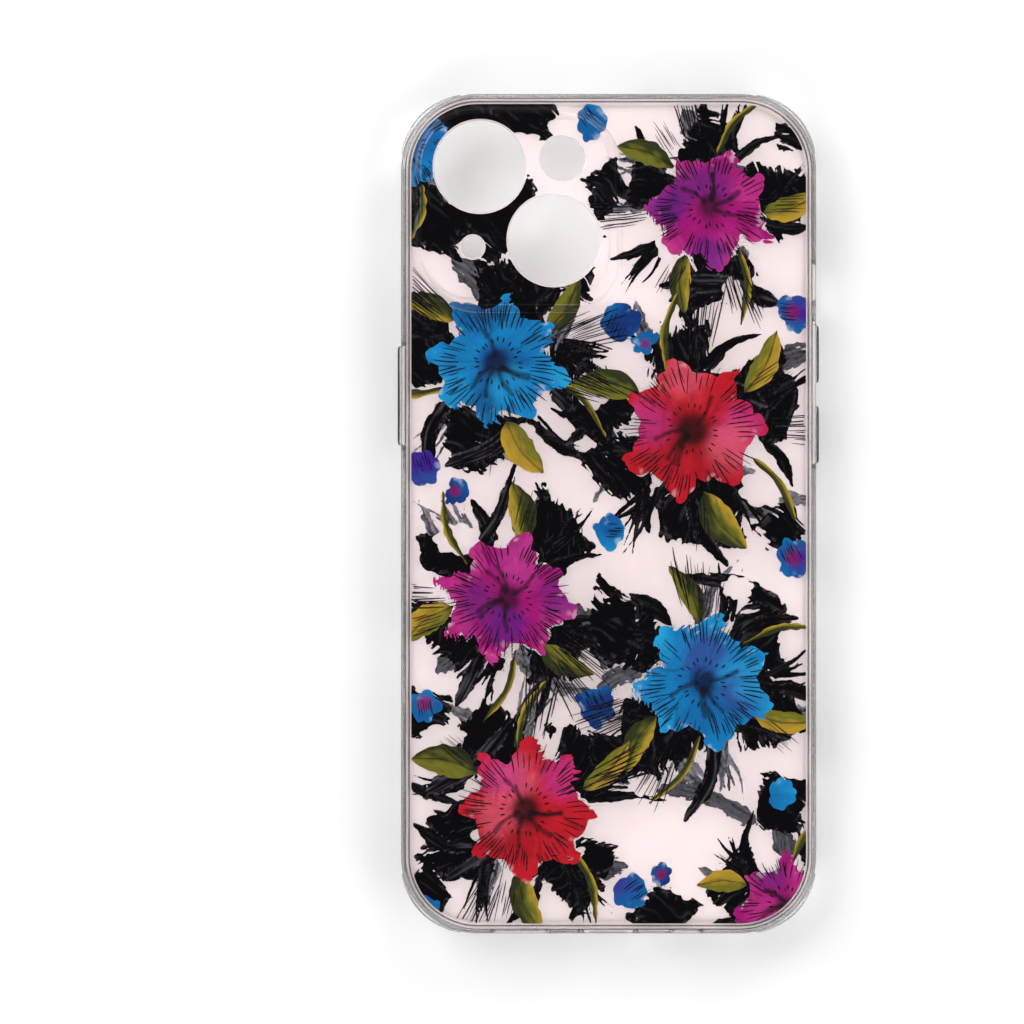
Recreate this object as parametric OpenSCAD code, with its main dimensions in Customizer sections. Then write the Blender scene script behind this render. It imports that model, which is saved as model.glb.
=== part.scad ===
// Clear phone case: hard printed back plate, soft bumper, corner cushions and three travelling keys.
// It lies with its open side down: +X right and +Y to the camera end, both seen from the back,
// and +Z out of the printed back. The lip that stands past the screen rests on z = 0.

/* [Phone it fits] */
// Width of the phone
phone_w = 71.6; // [70:0.1:74]
// Length of the phone
phone_l = 147.6; // [144:0.1:152]
// Thickness of the phone
phone_t = 7.8; // [7.4:0.1:8.6]
// Radius of the phone's corners
phone_corner_r = 12.4; // [11.5:0.1:13]

/* [Bumper frame] */
// Gap between the phone and the case
phone_gap = 0.1; // [0.05:0.05:0.2]
// Thickness of the side walls
wall_t = 1.3; // [1.2:0.1:1.6]
// How far the front lip stands past the screen
lip_h = 1; // [0.8:0.1:1.5]
// How far the front lip laps over the screen's edge
lip_overhang = 1.1; // [0.8:0.1:1.5]
// Rounding of the wall's outer edges
edge_r = 1.5; // [1:0.1:1.6]
// Height of the back rim above the plate
rim_proud = 0.15; // [0:0.05:0.3]

/* [Back plate] */
// Thickness of the plate
plate_t = 1.4; // [1.2:0.1:1.8]
// Thickness of the plate's edge flange, held in the bumper's groove
flange_t = 0.6; // [0.5:0.1:0.8]
// How far the flange reaches into the wall
flange_reach = 0.35; // [0.2:0.05:0.5]
// How far the back rim laps over the plate
rim_lap = 0.35; // [0.2:0.05:0.6]

/* [Camera plateau] */
// Height of the plateau above the plate
plateau_h = 2; // [1.6:0.1:2.4]
// Width of the plateau
plateau_w = 37.6; // [36:0.2:38.4]
// Length of the plateau
plateau_l = 37; // [36:0.2:38]
// Gap between the plateau and the plate's top and left edges
plateau_inset = 0.5; // [0.4:0.1:1]
// Run of the plateau's sloping side
plateau_slope = 1.5; // [1:0.1:1.8]
// Thickness of the plateau's top
plateau_top_t = 1.2; // [1:0.1:1.5]
// Distance from the plateau's outline to the pocket under it
pocket_margin = 2.3; // [2:0.1:3]

/* [Camera holes] */
// Radius of each lens hole
lens_hole_r = 8.2; // [7.5:0.1:8.4]
// Radius of the flash hole
flash_hole_r = 4.1; // [3:0.1:4.4]
// Radius of the microphone hole
mic_hole_r = 2; // [1.5:0.1:2.2]

/* [Keys] */
// How far a key stands out of the wall
key_proud = 0.7; // [0.5:0.1:1]
// Travel of a key
key_travel = 0.4; // [0.2:0.05:0.4]
// Height of a key across the wall
key_h = 3; // [2.6:0.1:3.4]
// Length of the power key
power_key_l = 17.9; // [15:0.1:20]
// Length of each volume key
volume_key_l = 10.4; // [9:0.1:10.8]
// Width of the moat round the keys
moat_w = 1; // [0.8:0.1:1.2]
// Thickness of the membrane round the keys
membrane_t = 0.3; // [0.2:0.05:0.4]
// Running gap between a key and its membrane
key_gap = 0.1; // [0.08:0.01:0.15]

/* [Cutouts in the walls] */
// Length of the mute switch slot
mute_slot_l = 8.4; // [7:0.1:9]
// Height of the mute switch slot
mute_slot_h = 4.8; // [4.6:0.1:5]
// Length of the charging port slot
port_slot_l = 11; // [10:0.1:12]
// Height of the charging port slot
port_slot_h = 6; // [5:0.1:6]
// Height of the speaker and microphone slots
sound_slot_h = 3; // [2.6:0.1:3.4]

/* [Corner cushions] */
// Radius of the outer corners, over the cushions
cushion_corner_r = 12.2; // [11.8:0.1:12.5]
// Depth that a cushion is let into the wall
cushion_seat = 0.4; // [0.3:0.05:0.5]
// Height of a cushion
cushion_h = 7.2; // [6:0.1:7.4]
// Height of the air pocket in a cushion
air_pocket_h = 5; // [4:0.1:5.2]

/* [Print] */
// Thickness of one ink pass
ink_t = 0.03; // [0.02:0.01:0.04]

/* [Hidden] */
$fn = 64;
// Overlap that joins two solids, and overshoot of a cutting solid
eps = 0.01;
over = 1;

// The room for the phone
cavity_w = phone_w + 2 * phone_gap;
cavity_l = phone_l + 2 * phone_gap;
cavity_r = phone_corner_r + phone_gap;
body_w = cavity_w + 2 * wall_t;
body_l = cavity_l + 2 * wall_t;
body_r = cavity_r + wall_t;

// Heights from the lip plane up
cavity_top = lip_h + phone_t + phone_gap;
flange_top = cavity_top + flange_t;
plate_top = cavity_top + plate_t;
rim_top = plate_top + rim_proud;
plateau_top = plate_top + plateau_h;
wall_mid_z = lip_h + phone_t / 2;

// The plate's visible face
plate_w = cavity_w - 2 * rim_lap;
plate_l = cavity_l - 2 * rim_lap;
plate_r = cavity_r - rim_lap;

// The plateau, by its sides
plateau_left = -plate_w / 2 + plateau_inset;
plateau_right = plateau_left + plateau_w;
plateau_far = plate_l / 2 - plateau_inset;
plateau_near = plateau_far - plateau_l;
// Its corner radii: far left, far right, near right, near left
plateau_rounds = [11.2, 12, 8.5, 12];
pocket_r = 8;

// Centres of the holes over the camera
lens_1 = [-23, 62];
lens_2 = [-9.8, 48.9];
flash = [-8.3, 63.4];
mic = [-24.3, 47.6];

// Middle of each key and slot along its wall
power_key_y = 21.2;
volume_up_y = 28.7;
volume_down_y = 14.2;
mute_slot_y = 41.5;
moat_h = key_h + 2 * moat_w;
volume_moat_y = (volume_up_y + volume_down_y) / 2;
volume_moat_l = volume_up_y - volume_down_y + volume_key_l + 2 * moat_w;
power_moat_l = power_key_l + 2 * moat_w;
speaker_slot_x = -15.8;
speaker_slot_l = 11;
mic_slot_x = 14;
mic_slot_l = 6.2;
slot_bevel = 0.6;
slot_bevel_t = 0.35;

// The keys, measured outward from the cavity's side
membrane_u = 0.45;
boss_u = 0.43;
boss_shrink = 1.2;
cap_u = membrane_u + key_travel + key_gap;
key_edge = 0.25;

// The corner cushions reach this far along each wall, and the air pocket turns this far
// each way from the middle of the corner
cushion_reach = cushion_corner_r - 1.5;
air_pocket_turn = 17;
air_pocket_t = 0.45;

// Passes of ink, from the plate up
white_pass = 0;
grey_pass = 1;
black_pass = 2;
olive_pass = 3;
blue_pass = 4;
magenta_pass = 5;
red_pass = 6;
line_pass = 7;

// Large flowers stand in a zigzag, small ones in the gaps: [x, y, reach, turn, petals]
blue_flowers = [
    [-20, 27, 12.5, 0, 8], [17, -30, 12.5, 20, 7], [-3, 70, 3.4, 0, 5], [33, 36, 3.6, 0, 5],
    [2, 35, 4.2, 0, 5], [6.5, 30.5, 2.4, 0, 5], [-33, 8, 3.8, 0, 5], [-27.5, 4, 2.4, 0, 5],
    [0, -3, 3.2, 0, 5], [33, -8, 3.8, 0, 5], [-2, -34, 4, 0, 5], [-33, -34, 3.4, 0, 5],
    [4, -68, 3.8, 0, 5], [9.5, -64.5, 2.3, 0, 5], [31, -50, 3, 0, 5]
];
magenta_flowers = [[18, 55, 11.5, 0, 7], [-18, -15, 12, 10, 8]];
red_flowers = [[15, 15, 13.5, 0, 7], [-15, -53, 13, 20, 8]];
large_flowers = concat([blue_flowers[0], blue_flowers[1]], magenta_flowers, red_flowers);
petal_depth = 0.3;
flower_steps = 48;

// Shapes set round each large flower, at a share of its reach: [x, y, length, width, turn]
function around(first, count, away, length, width) =
    [for (f = large_flowers, i = [0 : count - 1])
        let (a = first + f[3] + 360 * i / count)
        [f[0] + away * f[2] * cos(a), f[1] + away * f[2] * sin(a), length * f[2], width * f[2], a]];

leaves = around(40, 3, 1.28, 0.85, 0.36);
leaf_steps = 12;
black_strokes = around(10, 5, 1.3, 1.1, 0.34);
grey_strokes = around(75, 4, 1.4, 1.1, 0.2);
stroke_bend = 2;
stroke_steps = 10;

// Fine pen lines that fan out over each large flower, at a share of its reach
pen_count = 14;
pen_inner = 0.3;
pen_outer = 0.68;
pen_w = 0.22;

// White shows from inside under every coloured shape, a little smaller than the colour
white_shrink = 0.94;

// ---------- shared outlines ----------

function arc(c, r, from, to, n) =
    [for (i = [0 : n]) let (a = from + (to - from) * i / n) c + r * [cos(a), sin(a)]];

function rounded_points(x0, x1, y0, y1, rounds, grow, n) = concat(
    arc([x0 + rounds[0], y1 - rounds[0]], rounds[0] + grow, 180, 90, n),
    arc([x1 - rounds[1], y1 - rounds[1]], rounds[1] + grow, 90, 0, n),
    arc([x1 - rounds[2], y0 + rounds[2]], rounds[2] + grow, 0, -90, n),
    arc([x0 + rounds[3], y0 + rounds[3]], rounds[3] + grow, -90, -180, n)
);

function flower_points(size, petals) =
    [for (i = [0 : flower_steps - 1])
        let (a = 360 * i / flower_steps)
        let (reach = 1 - petal_depth * (1 - abs(cos(petals * a / 2))))
        size * reach * [cos(a), sin(a)]];

function leaf_points(length, width) = concat(
    [for (i = [0 : leaf_steps]) let (t = i / leaf_steps) [length * (t - 0.5), width / 2 * sin(180 * t)]],
    [for (i = [1 : leaf_steps - 1]) let (t = 1 - i / leaf_steps)
        [length * (t - 0.5), -width / 2 * sin(180 * t)]]
);

function stroke_points(length, width, bend) = concat(
    [for (i = [0 : stroke_steps]) let (t = i / stroke_steps)
        [length * (t - 0.5), bend * sin(180 * t) + width / 2 * sqrt(sin(180 * t))]],
    [for (i = [1 : stroke_steps - 1]) let (t = 1 - i / stroke_steps)
        [length * (t - 0.5), bend * sin(180 * t) - width / 2 * sqrt(sin(180 * t))]]
);

module rounded_rect(w, l, r) {
    square([w - 2 * r, l], center = true);
    square([w, l - 2 * r], center = true);
    for (x = [-1, 1], y = [-1, 1])
        translate([x * (w / 2 - r), y * (l / 2 - r)])
            circle(r);
}

module stadium(length, height) {
    square([length - height, height], center = true);
    for (side = [-1, 1])
        translate([side * (length - height) / 2, 0])
            circle(height / 2);
}

// A stadium that runs along Y and is extruded along X, from one distance to another outward
// from the cavity's +X side
module side_stadium(y, length, height, from, to) {
    translate([cavity_w / 2 + from, y, wall_mid_z])
        rotate([90, 0, 90])
            linear_extrude(to - from)
                stadium(length, height);
}

// The same through the -Y end wall, with the stadium along X
module end_stadium(x, length, height, from, to) {
    translate([x, -cavity_l / 2 - from, wall_mid_z])
        rotate([90, 0, 0])
            linear_extrude(to - from)
                stadium(length, height);
}

// ---------- back plate ----------

module plateau_outline(grow) {
    polygon(rounded_points(plateau_left, plateau_right, plateau_near, plateau_far,
                           plateau_rounds, grow, 12));
}

module camera_hole(centre, radius) {
    translate([centre[0], centre[1], cavity_top - over])
        cylinder(r = radius, h = plateau_top - cavity_top + 2 * over);
}

module camera_holes() {
    for (lens = [lens_1, lens_2])
        camera_hole(lens, lens_hole_r);
    camera_hole(flash, flash_hole_r);
    camera_hole(mic, mic_hole_r);
}

module camera_pocket() {
    pocket_w = plateau_w - 2 * pocket_margin;
    pocket_l = plateau_l - 2 * pocket_margin;
    translate([(plateau_left + plateau_right) / 2, (plateau_near + plateau_far) / 2,
               cavity_top - over])
        linear_extrude(plateau_top - plateau_top_t - cavity_top + over)
            rounded_rect(pocket_w, pocket_l, pocket_r);
}

module back_plate() {
    color([0.95, 0.93, 0.94, 0.35])
        difference() {
            union() {
                translate([0, 0, cavity_top])
                    linear_extrude(flange_t)
                        rounded_rect(cavity_w + 2 * flange_reach, cavity_l + 2 * flange_reach,
                                     cavity_r + flange_reach);
                translate([0, 0, cavity_top])
                    linear_extrude(plate_t)
                        rounded_rect(plate_w, plate_l, plate_r);
                hull() {
                    translate([0, 0, plate_top - eps])
                        linear_extrude(eps)
                            plateau_outline(0);
                    translate([0, 0, plateau_top - eps])
                        linear_extrude(eps)
                            plateau_outline(-plateau_slope);
                }
            }
            camera_pocket();
            camera_holes();
        }
}

// ---------- bumper ----------

// Cross-section of the wall: x is the distance outward from the cavity's side, y the height
module wall_section() {
    lip_chamfer = 0.35;
    polygon(concat(
        [[-lip_overhang, lip_h], [-lip_overhang, lip_chamfer], [lip_chamfer - lip_overhang, 0]],
        arc([wall_t - edge_r, edge_r], edge_r, -90, 0, 8),
        arc([wall_t - edge_r, rim_top - edge_r], edge_r, 0, 90, 8),
        [[-rim_lap, rim_top], [-rim_lap, flange_top], [flange_reach, flange_top],
         [flange_reach, cavity_top], [0, cavity_top], [0, lip_h]]
    ));
}

module swept_wall() {
    straight_x = cavity_w / 2 - cavity_r;
    straight_y = cavity_l / 2 - cavity_r;
    for (side = [0, 180]) rotate(side) {
        translate([cavity_w / 2, straight_y, 0])
            rotate([90, 0, 0])
                linear_extrude(2 * straight_y)
                    wall_section();
        translate([straight_x, cavity_l / 2, 0])
            rotate([90, 0, 90])
                mirror([0, 0, 1])
                    linear_extrude(2 * straight_x)
                        wall_section();
        for (corner = [0, 1])
            translate([corner == 0 ? straight_x : -straight_x, straight_y, 0])
                rotate(90 * corner)
                    rotate_extrude(angle = 90)
                        translate([cavity_r, 0])
                            wall_section();
    }
}

module key_windows() {
    side_stadium(volume_moat_y, volume_moat_l, moat_h, -over, wall_t + over);
    mirror([1, 0, 0])
        side_stadium(power_key_y, power_moat_l, moat_h, -over, wall_t + over);
}

module wall_cutouts() {
    side_stadium(mute_slot_y, mute_slot_l, mute_slot_h, -over, wall_t + over);
    side_stadium(mute_slot_y, mute_slot_l + 2 * slot_bevel, mute_slot_h + 2 * slot_bevel,
                 wall_t - slot_bevel_t, wall_t + over);
    end_stadium(0, port_slot_l, port_slot_h, -over, wall_t + over);
    end_stadium(speaker_slot_x, speaker_slot_l, sound_slot_h, -over, wall_t + over);
    end_stadium(mic_slot_x, mic_slot_l, sound_slot_h, -over, wall_t + over);
}

// The band outside the wall's seats, kept to one corner: sx and sy pick the corner, and
// grow widens the band's outside
module corner_band(sx, sy, grow) {
    side = cushion_reach + 2 * over;
    translate([0, 0, wall_mid_z - cushion_h / 2])
        linear_extrude(cushion_h)
            intersection() {
                translate([sx * (body_w / 2 - cushion_reach / 2 + over),
                           sy * (body_l / 2 - cushion_reach / 2 + over)])
                    square([side, side], center = true);
                difference() {
                    rounded_rect(body_w + 2 * grow, body_l + 2 * grow, cushion_corner_r);
                    rounded_rect(body_w - 2 * cushion_seat, body_l - 2 * cushion_seat,
                                 body_r - cushion_seat);
                }
            }
}

module bumper_frame() {
    color([0.9, 0.92, 0.93, 0.3])
        difference() {
            swept_wall();
            key_windows();
            wall_cutouts();
            for (sx = [-1, 1], sy = [-1, 1])
                corner_band(sx, sy, 2 * over);
        }
}

// ---------- corner cushions ----------

// Air pocket: a band round the corner, open towards the wall
module air_pocket(sx, sy) {
    translate([sx * (body_w / 2 - body_r), sy * (body_l / 2 - body_r), wall_mid_z])
        rotate(atan2(sy, sx) - air_pocket_turn)
            rotate_extrude(angle = 2 * air_pocket_turn)
                translate([body_r - cushion_seat - over, -air_pocket_h / 2])
                    square([over + air_pocket_t, air_pocket_h]);
}

module corner_cushion(sx, sy) {
    color([0.93, 0.95, 0.96, 0.35])
        difference() {
            corner_band(sx, sy, 0);
            air_pocket(sx, sy);
        }
}

module corner_cushion_top_left() { corner_cushion(-1, 1); }
module corner_cushion_top_right() { corner_cushion(1, 1); }
module corner_cushion_bottom_left() { corner_cushion(-1, -1); }
module corner_cushion_bottom_right() { corner_cushion(1, -1); }

// ---------- keys ----------

// Cap with a stepped crown, and the narrower boss behind it that meets the phone's own button
module key(y, length) {
    color([0.94, 0.95, 0.96, 0.45])
        union() {
            side_stadium(y, length - boss_shrink, key_h - boss_shrink, boss_u, cap_u + eps);
            side_stadium(y, length, key_h, cap_u, wall_t + key_proud - key_edge);
            side_stadium(y, length - 2 * key_edge, key_h - 2 * key_edge,
                         wall_t + key_proud - key_edge - eps, wall_t + key_proud);
        }
}

module key_hole(y, length) {
    side_stadium(y, length - boss_shrink + 2 * key_gap, key_h - boss_shrink + 2 * key_gap,
                 -over, wall_t);
}

// The skin sits low in the wall, so that a pressed cap stays clear of it
module membrane(y, length) {
    side_stadium(y, length, moat_h, membrane_u - membrane_t, membrane_u);
}

module power_key() {
    mirror([1, 0, 0])
        key(power_key_y, power_key_l);
}

module power_key_membrane() {
    color([0.9, 0.92, 0.93, 0.3])
        mirror([1, 0, 0])
            difference() {
                membrane(power_key_y, power_moat_l);
                key_hole(power_key_y, power_key_l);
            }
}

module volume_up_key() { key(volume_up_y, volume_key_l); }
module volume_down_key() { key(volume_down_y, volume_key_l); }

module volume_key_membrane() {
    color([0.9, 0.92, 0.93, 0.3])
        difference() {
            membrane(volume_moat_y, volume_moat_l);
            key_hole(volume_up_y, volume_key_l);
            key_hole(volume_down_y, volume_key_l);
        }
}

// ---------- print ----------

module printable_area() {
    margin = 0.3;
    rounded_rect(plate_w - 2 * margin, plate_l - 2 * margin, plate_r - margin);
}

// One pass of ink: flat on the plate, and flat on top of the plateau round its holes
module ink(pass) {
    clear = 0.3;
    translate([0, 0, plate_top + pass * ink_t])
        linear_extrude(ink_t)
            difference() {
                intersection() {
                    children();
                    printable_area();
                }
                plateau_outline(0);
            }
    translate([0, 0, plateau_top + pass * ink_t])
        linear_extrude(ink_t)
            difference() {
                intersection() {
                    children();
                    plateau_outline(-plateau_slope);
                }
                for (lens = [lens_1, lens_2])
                    translate(lens)
                        circle(lens_hole_r + clear);
                translate(flash)
                    circle(flash_hole_r + clear);
                translate(mic)
                    circle(mic_hole_r + clear);
            }
}

module flowers(list, size) {
    for (f = list)
        translate([f[0], f[1]])
            rotate(f[3])
                polygon(flower_points(f[2] * size, f[4]));
}

module leaf_shapes(size) {
    for (l = leaves)
        translate([l[0], l[1]])
            rotate(l[4])
                polygon(leaf_points(l[2] * size, l[3] * size));
}

module strokes(list) {
    for (s = list)
        translate([s[0], s[1]])
            rotate(s[4])
                polygon(stroke_points(s[2], s[3], stroke_bend));
}

module print_white_base() {
    color("white")
        ink(white_pass) {
            flowers(blue_flowers, white_shrink);
            flowers(magenta_flowers, white_shrink);
            flowers(red_flowers, white_shrink);
            leaf_shapes(white_shrink);
        }
}

module print_grey() {
    color([0.36, 0.33, 0.38])
        ink(grey_pass) strokes(grey_strokes);
}

module print_black() {
    color([0.04, 0.03, 0.05])
        ink(black_pass) strokes(black_strokes);
}

module print_olive() {
    color([0.42, 0.42, 0.12])
        ink(olive_pass) leaf_shapes(1);
}

module print_blue() {
    color([0.07, 0.5, 0.75])
        ink(blue_pass) flowers(blue_flowers, 1);
}

module print_magenta() {
    color([0.7, 0.1, 0.54])
        ink(magenta_pass) flowers(magenta_flowers, 1);
}

module print_red() {
    color([0.8, 0.08, 0.15])
        ink(red_pass) flowers(red_flowers, 1);
}

module print_line_work() {
    color([0.02, 0.02, 0.03])
        ink(line_pass)
            for (f = large_flowers, i = [0 : pen_count - 1])
                translate([f[0], f[1]])
                    rotate(f[3] + 360 * i / pen_count)
                        translate([pen_inner * f[2], -pen_w / 2])
                            square([(pen_outer - pen_inner) * f[2], pen_w]);
}

back_plate();
bumper_frame();
corner_cushion_top_left();
corner_cushion_top_right();
corner_cushion_bottom_left();
corner_cushion_bottom_right();
power_key();
power_key_membrane();
volume_up_key();
volume_down_key();
volume_key_membrane();
print_white_base();
print_grey();
print_black();
print_olive();
print_blue();
print_magenta();
print_red();
print_line_work();
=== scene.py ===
import math

import bmesh
import bpy
import numpy as np
from mathutils import Matrix, Vector


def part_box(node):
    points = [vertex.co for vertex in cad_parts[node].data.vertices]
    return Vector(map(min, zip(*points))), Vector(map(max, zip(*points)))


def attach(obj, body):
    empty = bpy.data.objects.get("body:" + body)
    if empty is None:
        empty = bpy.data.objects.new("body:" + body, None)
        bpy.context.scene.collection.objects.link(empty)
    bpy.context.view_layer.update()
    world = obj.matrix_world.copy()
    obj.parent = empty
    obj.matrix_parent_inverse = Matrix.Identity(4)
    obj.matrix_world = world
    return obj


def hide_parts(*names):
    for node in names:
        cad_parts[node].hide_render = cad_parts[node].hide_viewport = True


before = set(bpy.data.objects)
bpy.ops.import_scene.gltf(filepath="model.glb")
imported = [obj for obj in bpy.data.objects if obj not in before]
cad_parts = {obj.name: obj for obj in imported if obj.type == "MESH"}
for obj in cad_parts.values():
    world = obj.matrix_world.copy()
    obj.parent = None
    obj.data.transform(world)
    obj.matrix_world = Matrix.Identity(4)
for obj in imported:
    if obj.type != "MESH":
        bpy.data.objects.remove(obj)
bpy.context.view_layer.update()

MM = 0.001

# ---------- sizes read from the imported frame, in millimetres ----------


def node_box(name):
    low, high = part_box(name)
    return np.array(low) / MM, np.array(high) / MM


FRAME_LOW, FRAME_HIGH = node_box("bumper_frame")
PLATE_LOW, PLATE_HIGH = node_box("back_plate")
BODY_W = 2 * FRAME_HIGH[0]
BODY_L = 2 * FRAME_HIGH[1]
RIM_TOP = FRAME_HIGH[2]
CAVITY_TOP = PLATE_LOW[2]
PLATEAU_TOP = PLATE_HIGH[2]
FLANGE_U = 0.35
CAVITY_W = 2 * (PLATE_HIGH[0] - FLANGE_U)
CAVITY_L = 2 * (PLATE_HIGH[1] - FLANGE_U)
CAVITY_R = 12.5
WALL = (BODY_W - CAVITY_W) / 2
BODY_R = CAVITY_R + WALL
PLATE_TOP = RIM_TOP - 0.15
FLANGE_TOP = CAVITY_TOP + 0.6
RIM_LAP = 0.35
LIP_LAP = 1.1
LIP_TOP = 1.0
EDGE_R = 1.5
MID_Z = 4.9

# The camera plateau: sides, corner radii (far left, far right, near right, near left)
PLATEAU = (-35.05, 2.55, 36.05, 73.05)
PLATEAU_R = (11.2, 12.0, 8.5, 12.0)
SLOPE_RUN = 1.5
SLOPE_POWER = 1.7
POCKET = (-32.75, 0.25, 38.35, 70.75)
POCKET_R = (8.0, 8.0, 8.0, 8.0)
POCKET_TOP = PLATEAU_TOP - 1.2
HOLES = [(-23.0, 62.0, 8.2), (-9.8, 48.9, 8.2), (-8.3, 63.4, 4.1), (-24.3, 47.6, 2.0)]

# ---------- mesh helpers ----------


def new_object(name, mesh):
    piece = bpy.data.objects.new(name, mesh)
    bpy.context.scene.collection.objects.link(piece)
    return piece


def mesh_of(name, points, faces):
    """A mesh from points in millimetres."""
    mesh = bpy.data.meshes.new(name)
    mesh.from_pydata([tuple(p) for p in np.asarray(points) * MM], [], faces)
    mesh.validate()
    return mesh


def grid_faces(rows, cols, wrap_rows, wrap_cols):
    faces = []
    for i in range(rows if wrap_rows else rows - 1):
        for j in range(cols if wrap_cols else cols - 1):
            a, b = i * cols + j, i * cols + (j + 1) % cols
            c, d = (i + 1) % rows * cols + (j + 1) % cols, (i + 1) % rows * cols + j
            faces.append((a, b, c, d))
    return faces


def loft(name, rings, closed=False):
    """Joins rings of equal count with quads, and caps the first and last unless closed."""
    rows, cols = len(rings), len(rings[0])
    faces = grid_faces(rows, cols, closed, True)
    if not closed:
        faces.append(tuple(range(cols))[::-1])
        faces.append(tuple(range((rows - 1) * cols, rows * cols)))
    mesh = mesh_of(name, np.concatenate(rings), faces)
    work = bmesh.new()
    work.from_mesh(mesh)
    bmesh.ops.recalc_face_normals(work, faces=work.faces)
    work.to_mesh(mesh)
    work.free()
    return mesh


def combine(name, base, others, how):
    """Joins or cuts a mesh with others, exactly, and gives the new mesh."""
    piece = new_object(name, base)
    tools = []
    for k, other in enumerate(others):
        tool = new_object(f"{name}_tool_{k}", other)
        change = piece.modifiers.new("cut", "BOOLEAN")
        change.operation, change.solver, change.object = how, "EXACT", tool
        tools.append(tool)
    bpy.context.view_layer.update()
    made = bpy.data.meshes.new_from_object(
        piece.evaluated_get(bpy.context.evaluated_depsgraph_get())
    )
    for thing in tools + [piece]:
        bpy.data.objects.remove(thing)
    made.name = name
    return made


def shade(mesh, angle=32):
    for face in mesh.polygons:
        face.use_smooth = True
    mesh.set_sharp_from_angle(angle=math.radians(angle))


def even_normals(piece):
    """Flat faces keep flat normals where a rounded edge runs into them."""
    change = piece.modifiers.new("normals", "WEIGHTED_NORMAL")
    change.keep_sharp = True
    change.weight = 100


def rounded_box(x0, x1, y0, y1, radii, inset, arc_steps=16):
    """Outline of a rounded rectangle and its outward normals, drawn inset by a distance."""
    corners = [
        (x0 + radii[0], y1 - radii[0], radii[0], 180),
        (x1 - radii[1], y1 - radii[1], radii[1], 90),
        (x1 - radii[2], y0 + radii[2], radii[2], 0),
        (x0 + radii[3], y0 + radii[3], radii[3], -90),
    ]
    points = []
    for cx, cy, r, start in corners:
        for k in range(arc_steps + 1):
            a = math.radians(start - 90 * k / arc_steps)
            points.append((cx + (r - inset) * math.cos(a), cy + (r - inset) * math.sin(a)))
    return np.array(points)


def case_ring(u, arc_steps=22, side_steps=9):
    """The case's outline at a distance outward from the cavity's side."""
    hx, hy = CAVITY_W / 2 - CAVITY_R, CAVITY_L / 2 - CAVITY_R
    r = CAVITY_R + u
    points = []
    for cx, cy, start in [(hx, hy, 0), (-hx, hy, 90), (-hx, -hy, 180), (hx, -hy, 270)]:
        for k in range(arc_steps + 1):
            a = math.radians(start + 90 * k / arc_steps)
            points.append((cx + r * math.cos(a), cy + r * math.sin(a)))
        nxt = {0: (-hx, hy + r), 90: (-hx - r, -hy), 180: (hx, -hy - r), 270: (hx + r, hy)}[start]
        last = points[-1]
        for k in range(1, side_steps):
            t = k / side_steps
            points.append((last[0] * (1 - t) + nxt[0] * t, last[1] * (1 - t) + nxt[1] * t))
    return np.array(points)


def at_height(ring, z):
    return np.column_stack([ring, np.full(len(ring), z)])


def stadium(length, height, inset=0.0, steps=14):
    """Outline of a stadium: along, up."""
    r = height / 2 - inset
    half = (length - height) / 2
    points = []
    for side, start in ((1, -90), (-1, 90)):
        for k in range(steps + 1):
            a = math.radians(start + 180 * k / steps)
            points.append((side * half + r * math.cos(a), r * math.sin(a)))
    return np.array(points)


def on_side(outline, y, u, side):
    """Stands an outline on the +X or -X wall, at a distance outward from the cavity's side."""
    out = np.empty((len(outline), 3))
    out[:, 0] = side * (CAVITY_W / 2 + u)
    out[:, 1] = y + outline[:, 0]
    out[:, 2] = MID_Z + outline[:, 1]
    return out


def on_end(outline, x, u):
    """Stands an outline on the -Y wall."""
    out = np.empty((len(outline), 3))
    out[:, 0] = x + outline[:, 0]
    out[:, 1] = -(CAVITY_L / 2 + u)
    out[:, 2] = MID_Z + outline[:, 1]
    return out


def arc_points(cu, cz, r, start, end, steps):
    return [
        (cu + r * math.cos(math.radians(start + (end - start) * k / steps)),
         cz + r * math.sin(math.radians(start + (end - start) * k / steps)))
        for k in range(steps + 1)
    ]


# ---------- bumper ----------


def mouth(place, length, height, flare, depth):
    """A cutting solid whose mouth opens smoothly at the wall's outside."""
    rings = [place(stadium(length, height), -2.5)]
    steps = 5
    for k in range(steps + 1):
        a = math.radians(90 * k / steps)
        rings.append(place(stadium(length, height, -flare * (1 - math.cos(a))),
                           WALL - depth + depth * math.sin(a)))
    rings.append(place(stadium(length, height, -flare - 0.3), WALL + 0.3))
    rings.append(place(stadium(length, height, -flare - 0.3), WALL + 2))
    return loft("mouth", rings)


def corner_path(corner_r, inset, sx, sy, reach, turn_steps=18, side_steps=3):
    """Points round one corner of the body, from one end of a cushion to the other."""
    hx, hy = BODY_W / 2 - inset, BODY_L / 2 - inset
    cx, cy = hx - corner_r, hy - corner_r
    end_x, end_y = BODY_W / 2 - reach, BODY_L / 2 - reach
    points = []
    if end_x < cx:
        points += [(end_x + (cx - end_x) * k / side_steps, hy) for k in range(side_steps)]
        a_start = 90.0
    else:
        a_start = math.degrees(math.acos((end_x - cx) / corner_r))
    if end_y < cy:
        tail = [(hx, cy + (end_y - cy) * k / side_steps) for k in range(1, side_steps + 1)]
        a_end = 0.0
    else:
        tail = []
        a_end = math.degrees(math.asin((end_y - cy) / corner_r))
    for k in range(turn_steps + 1):
        a = math.radians(a_start + (a_end - a_start) * k / turn_steps)
        points.append((cx + corner_r * math.cos(a), cy + corner_r * math.sin(a)))
    points += tail
    return resampled(np.array(points), 40) * (sx, sy)


def resampled(points, count):
    """Evenly spaced points along a line."""
    step = np.hypot(*np.diff(points, axis=0).T)
    run = np.concatenate([[0], np.cumsum(step)])
    at = np.linspace(0, run[-1], count)
    return np.column_stack([np.interp(at, run, points[:, k]) for k in (0, 1)])


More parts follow.
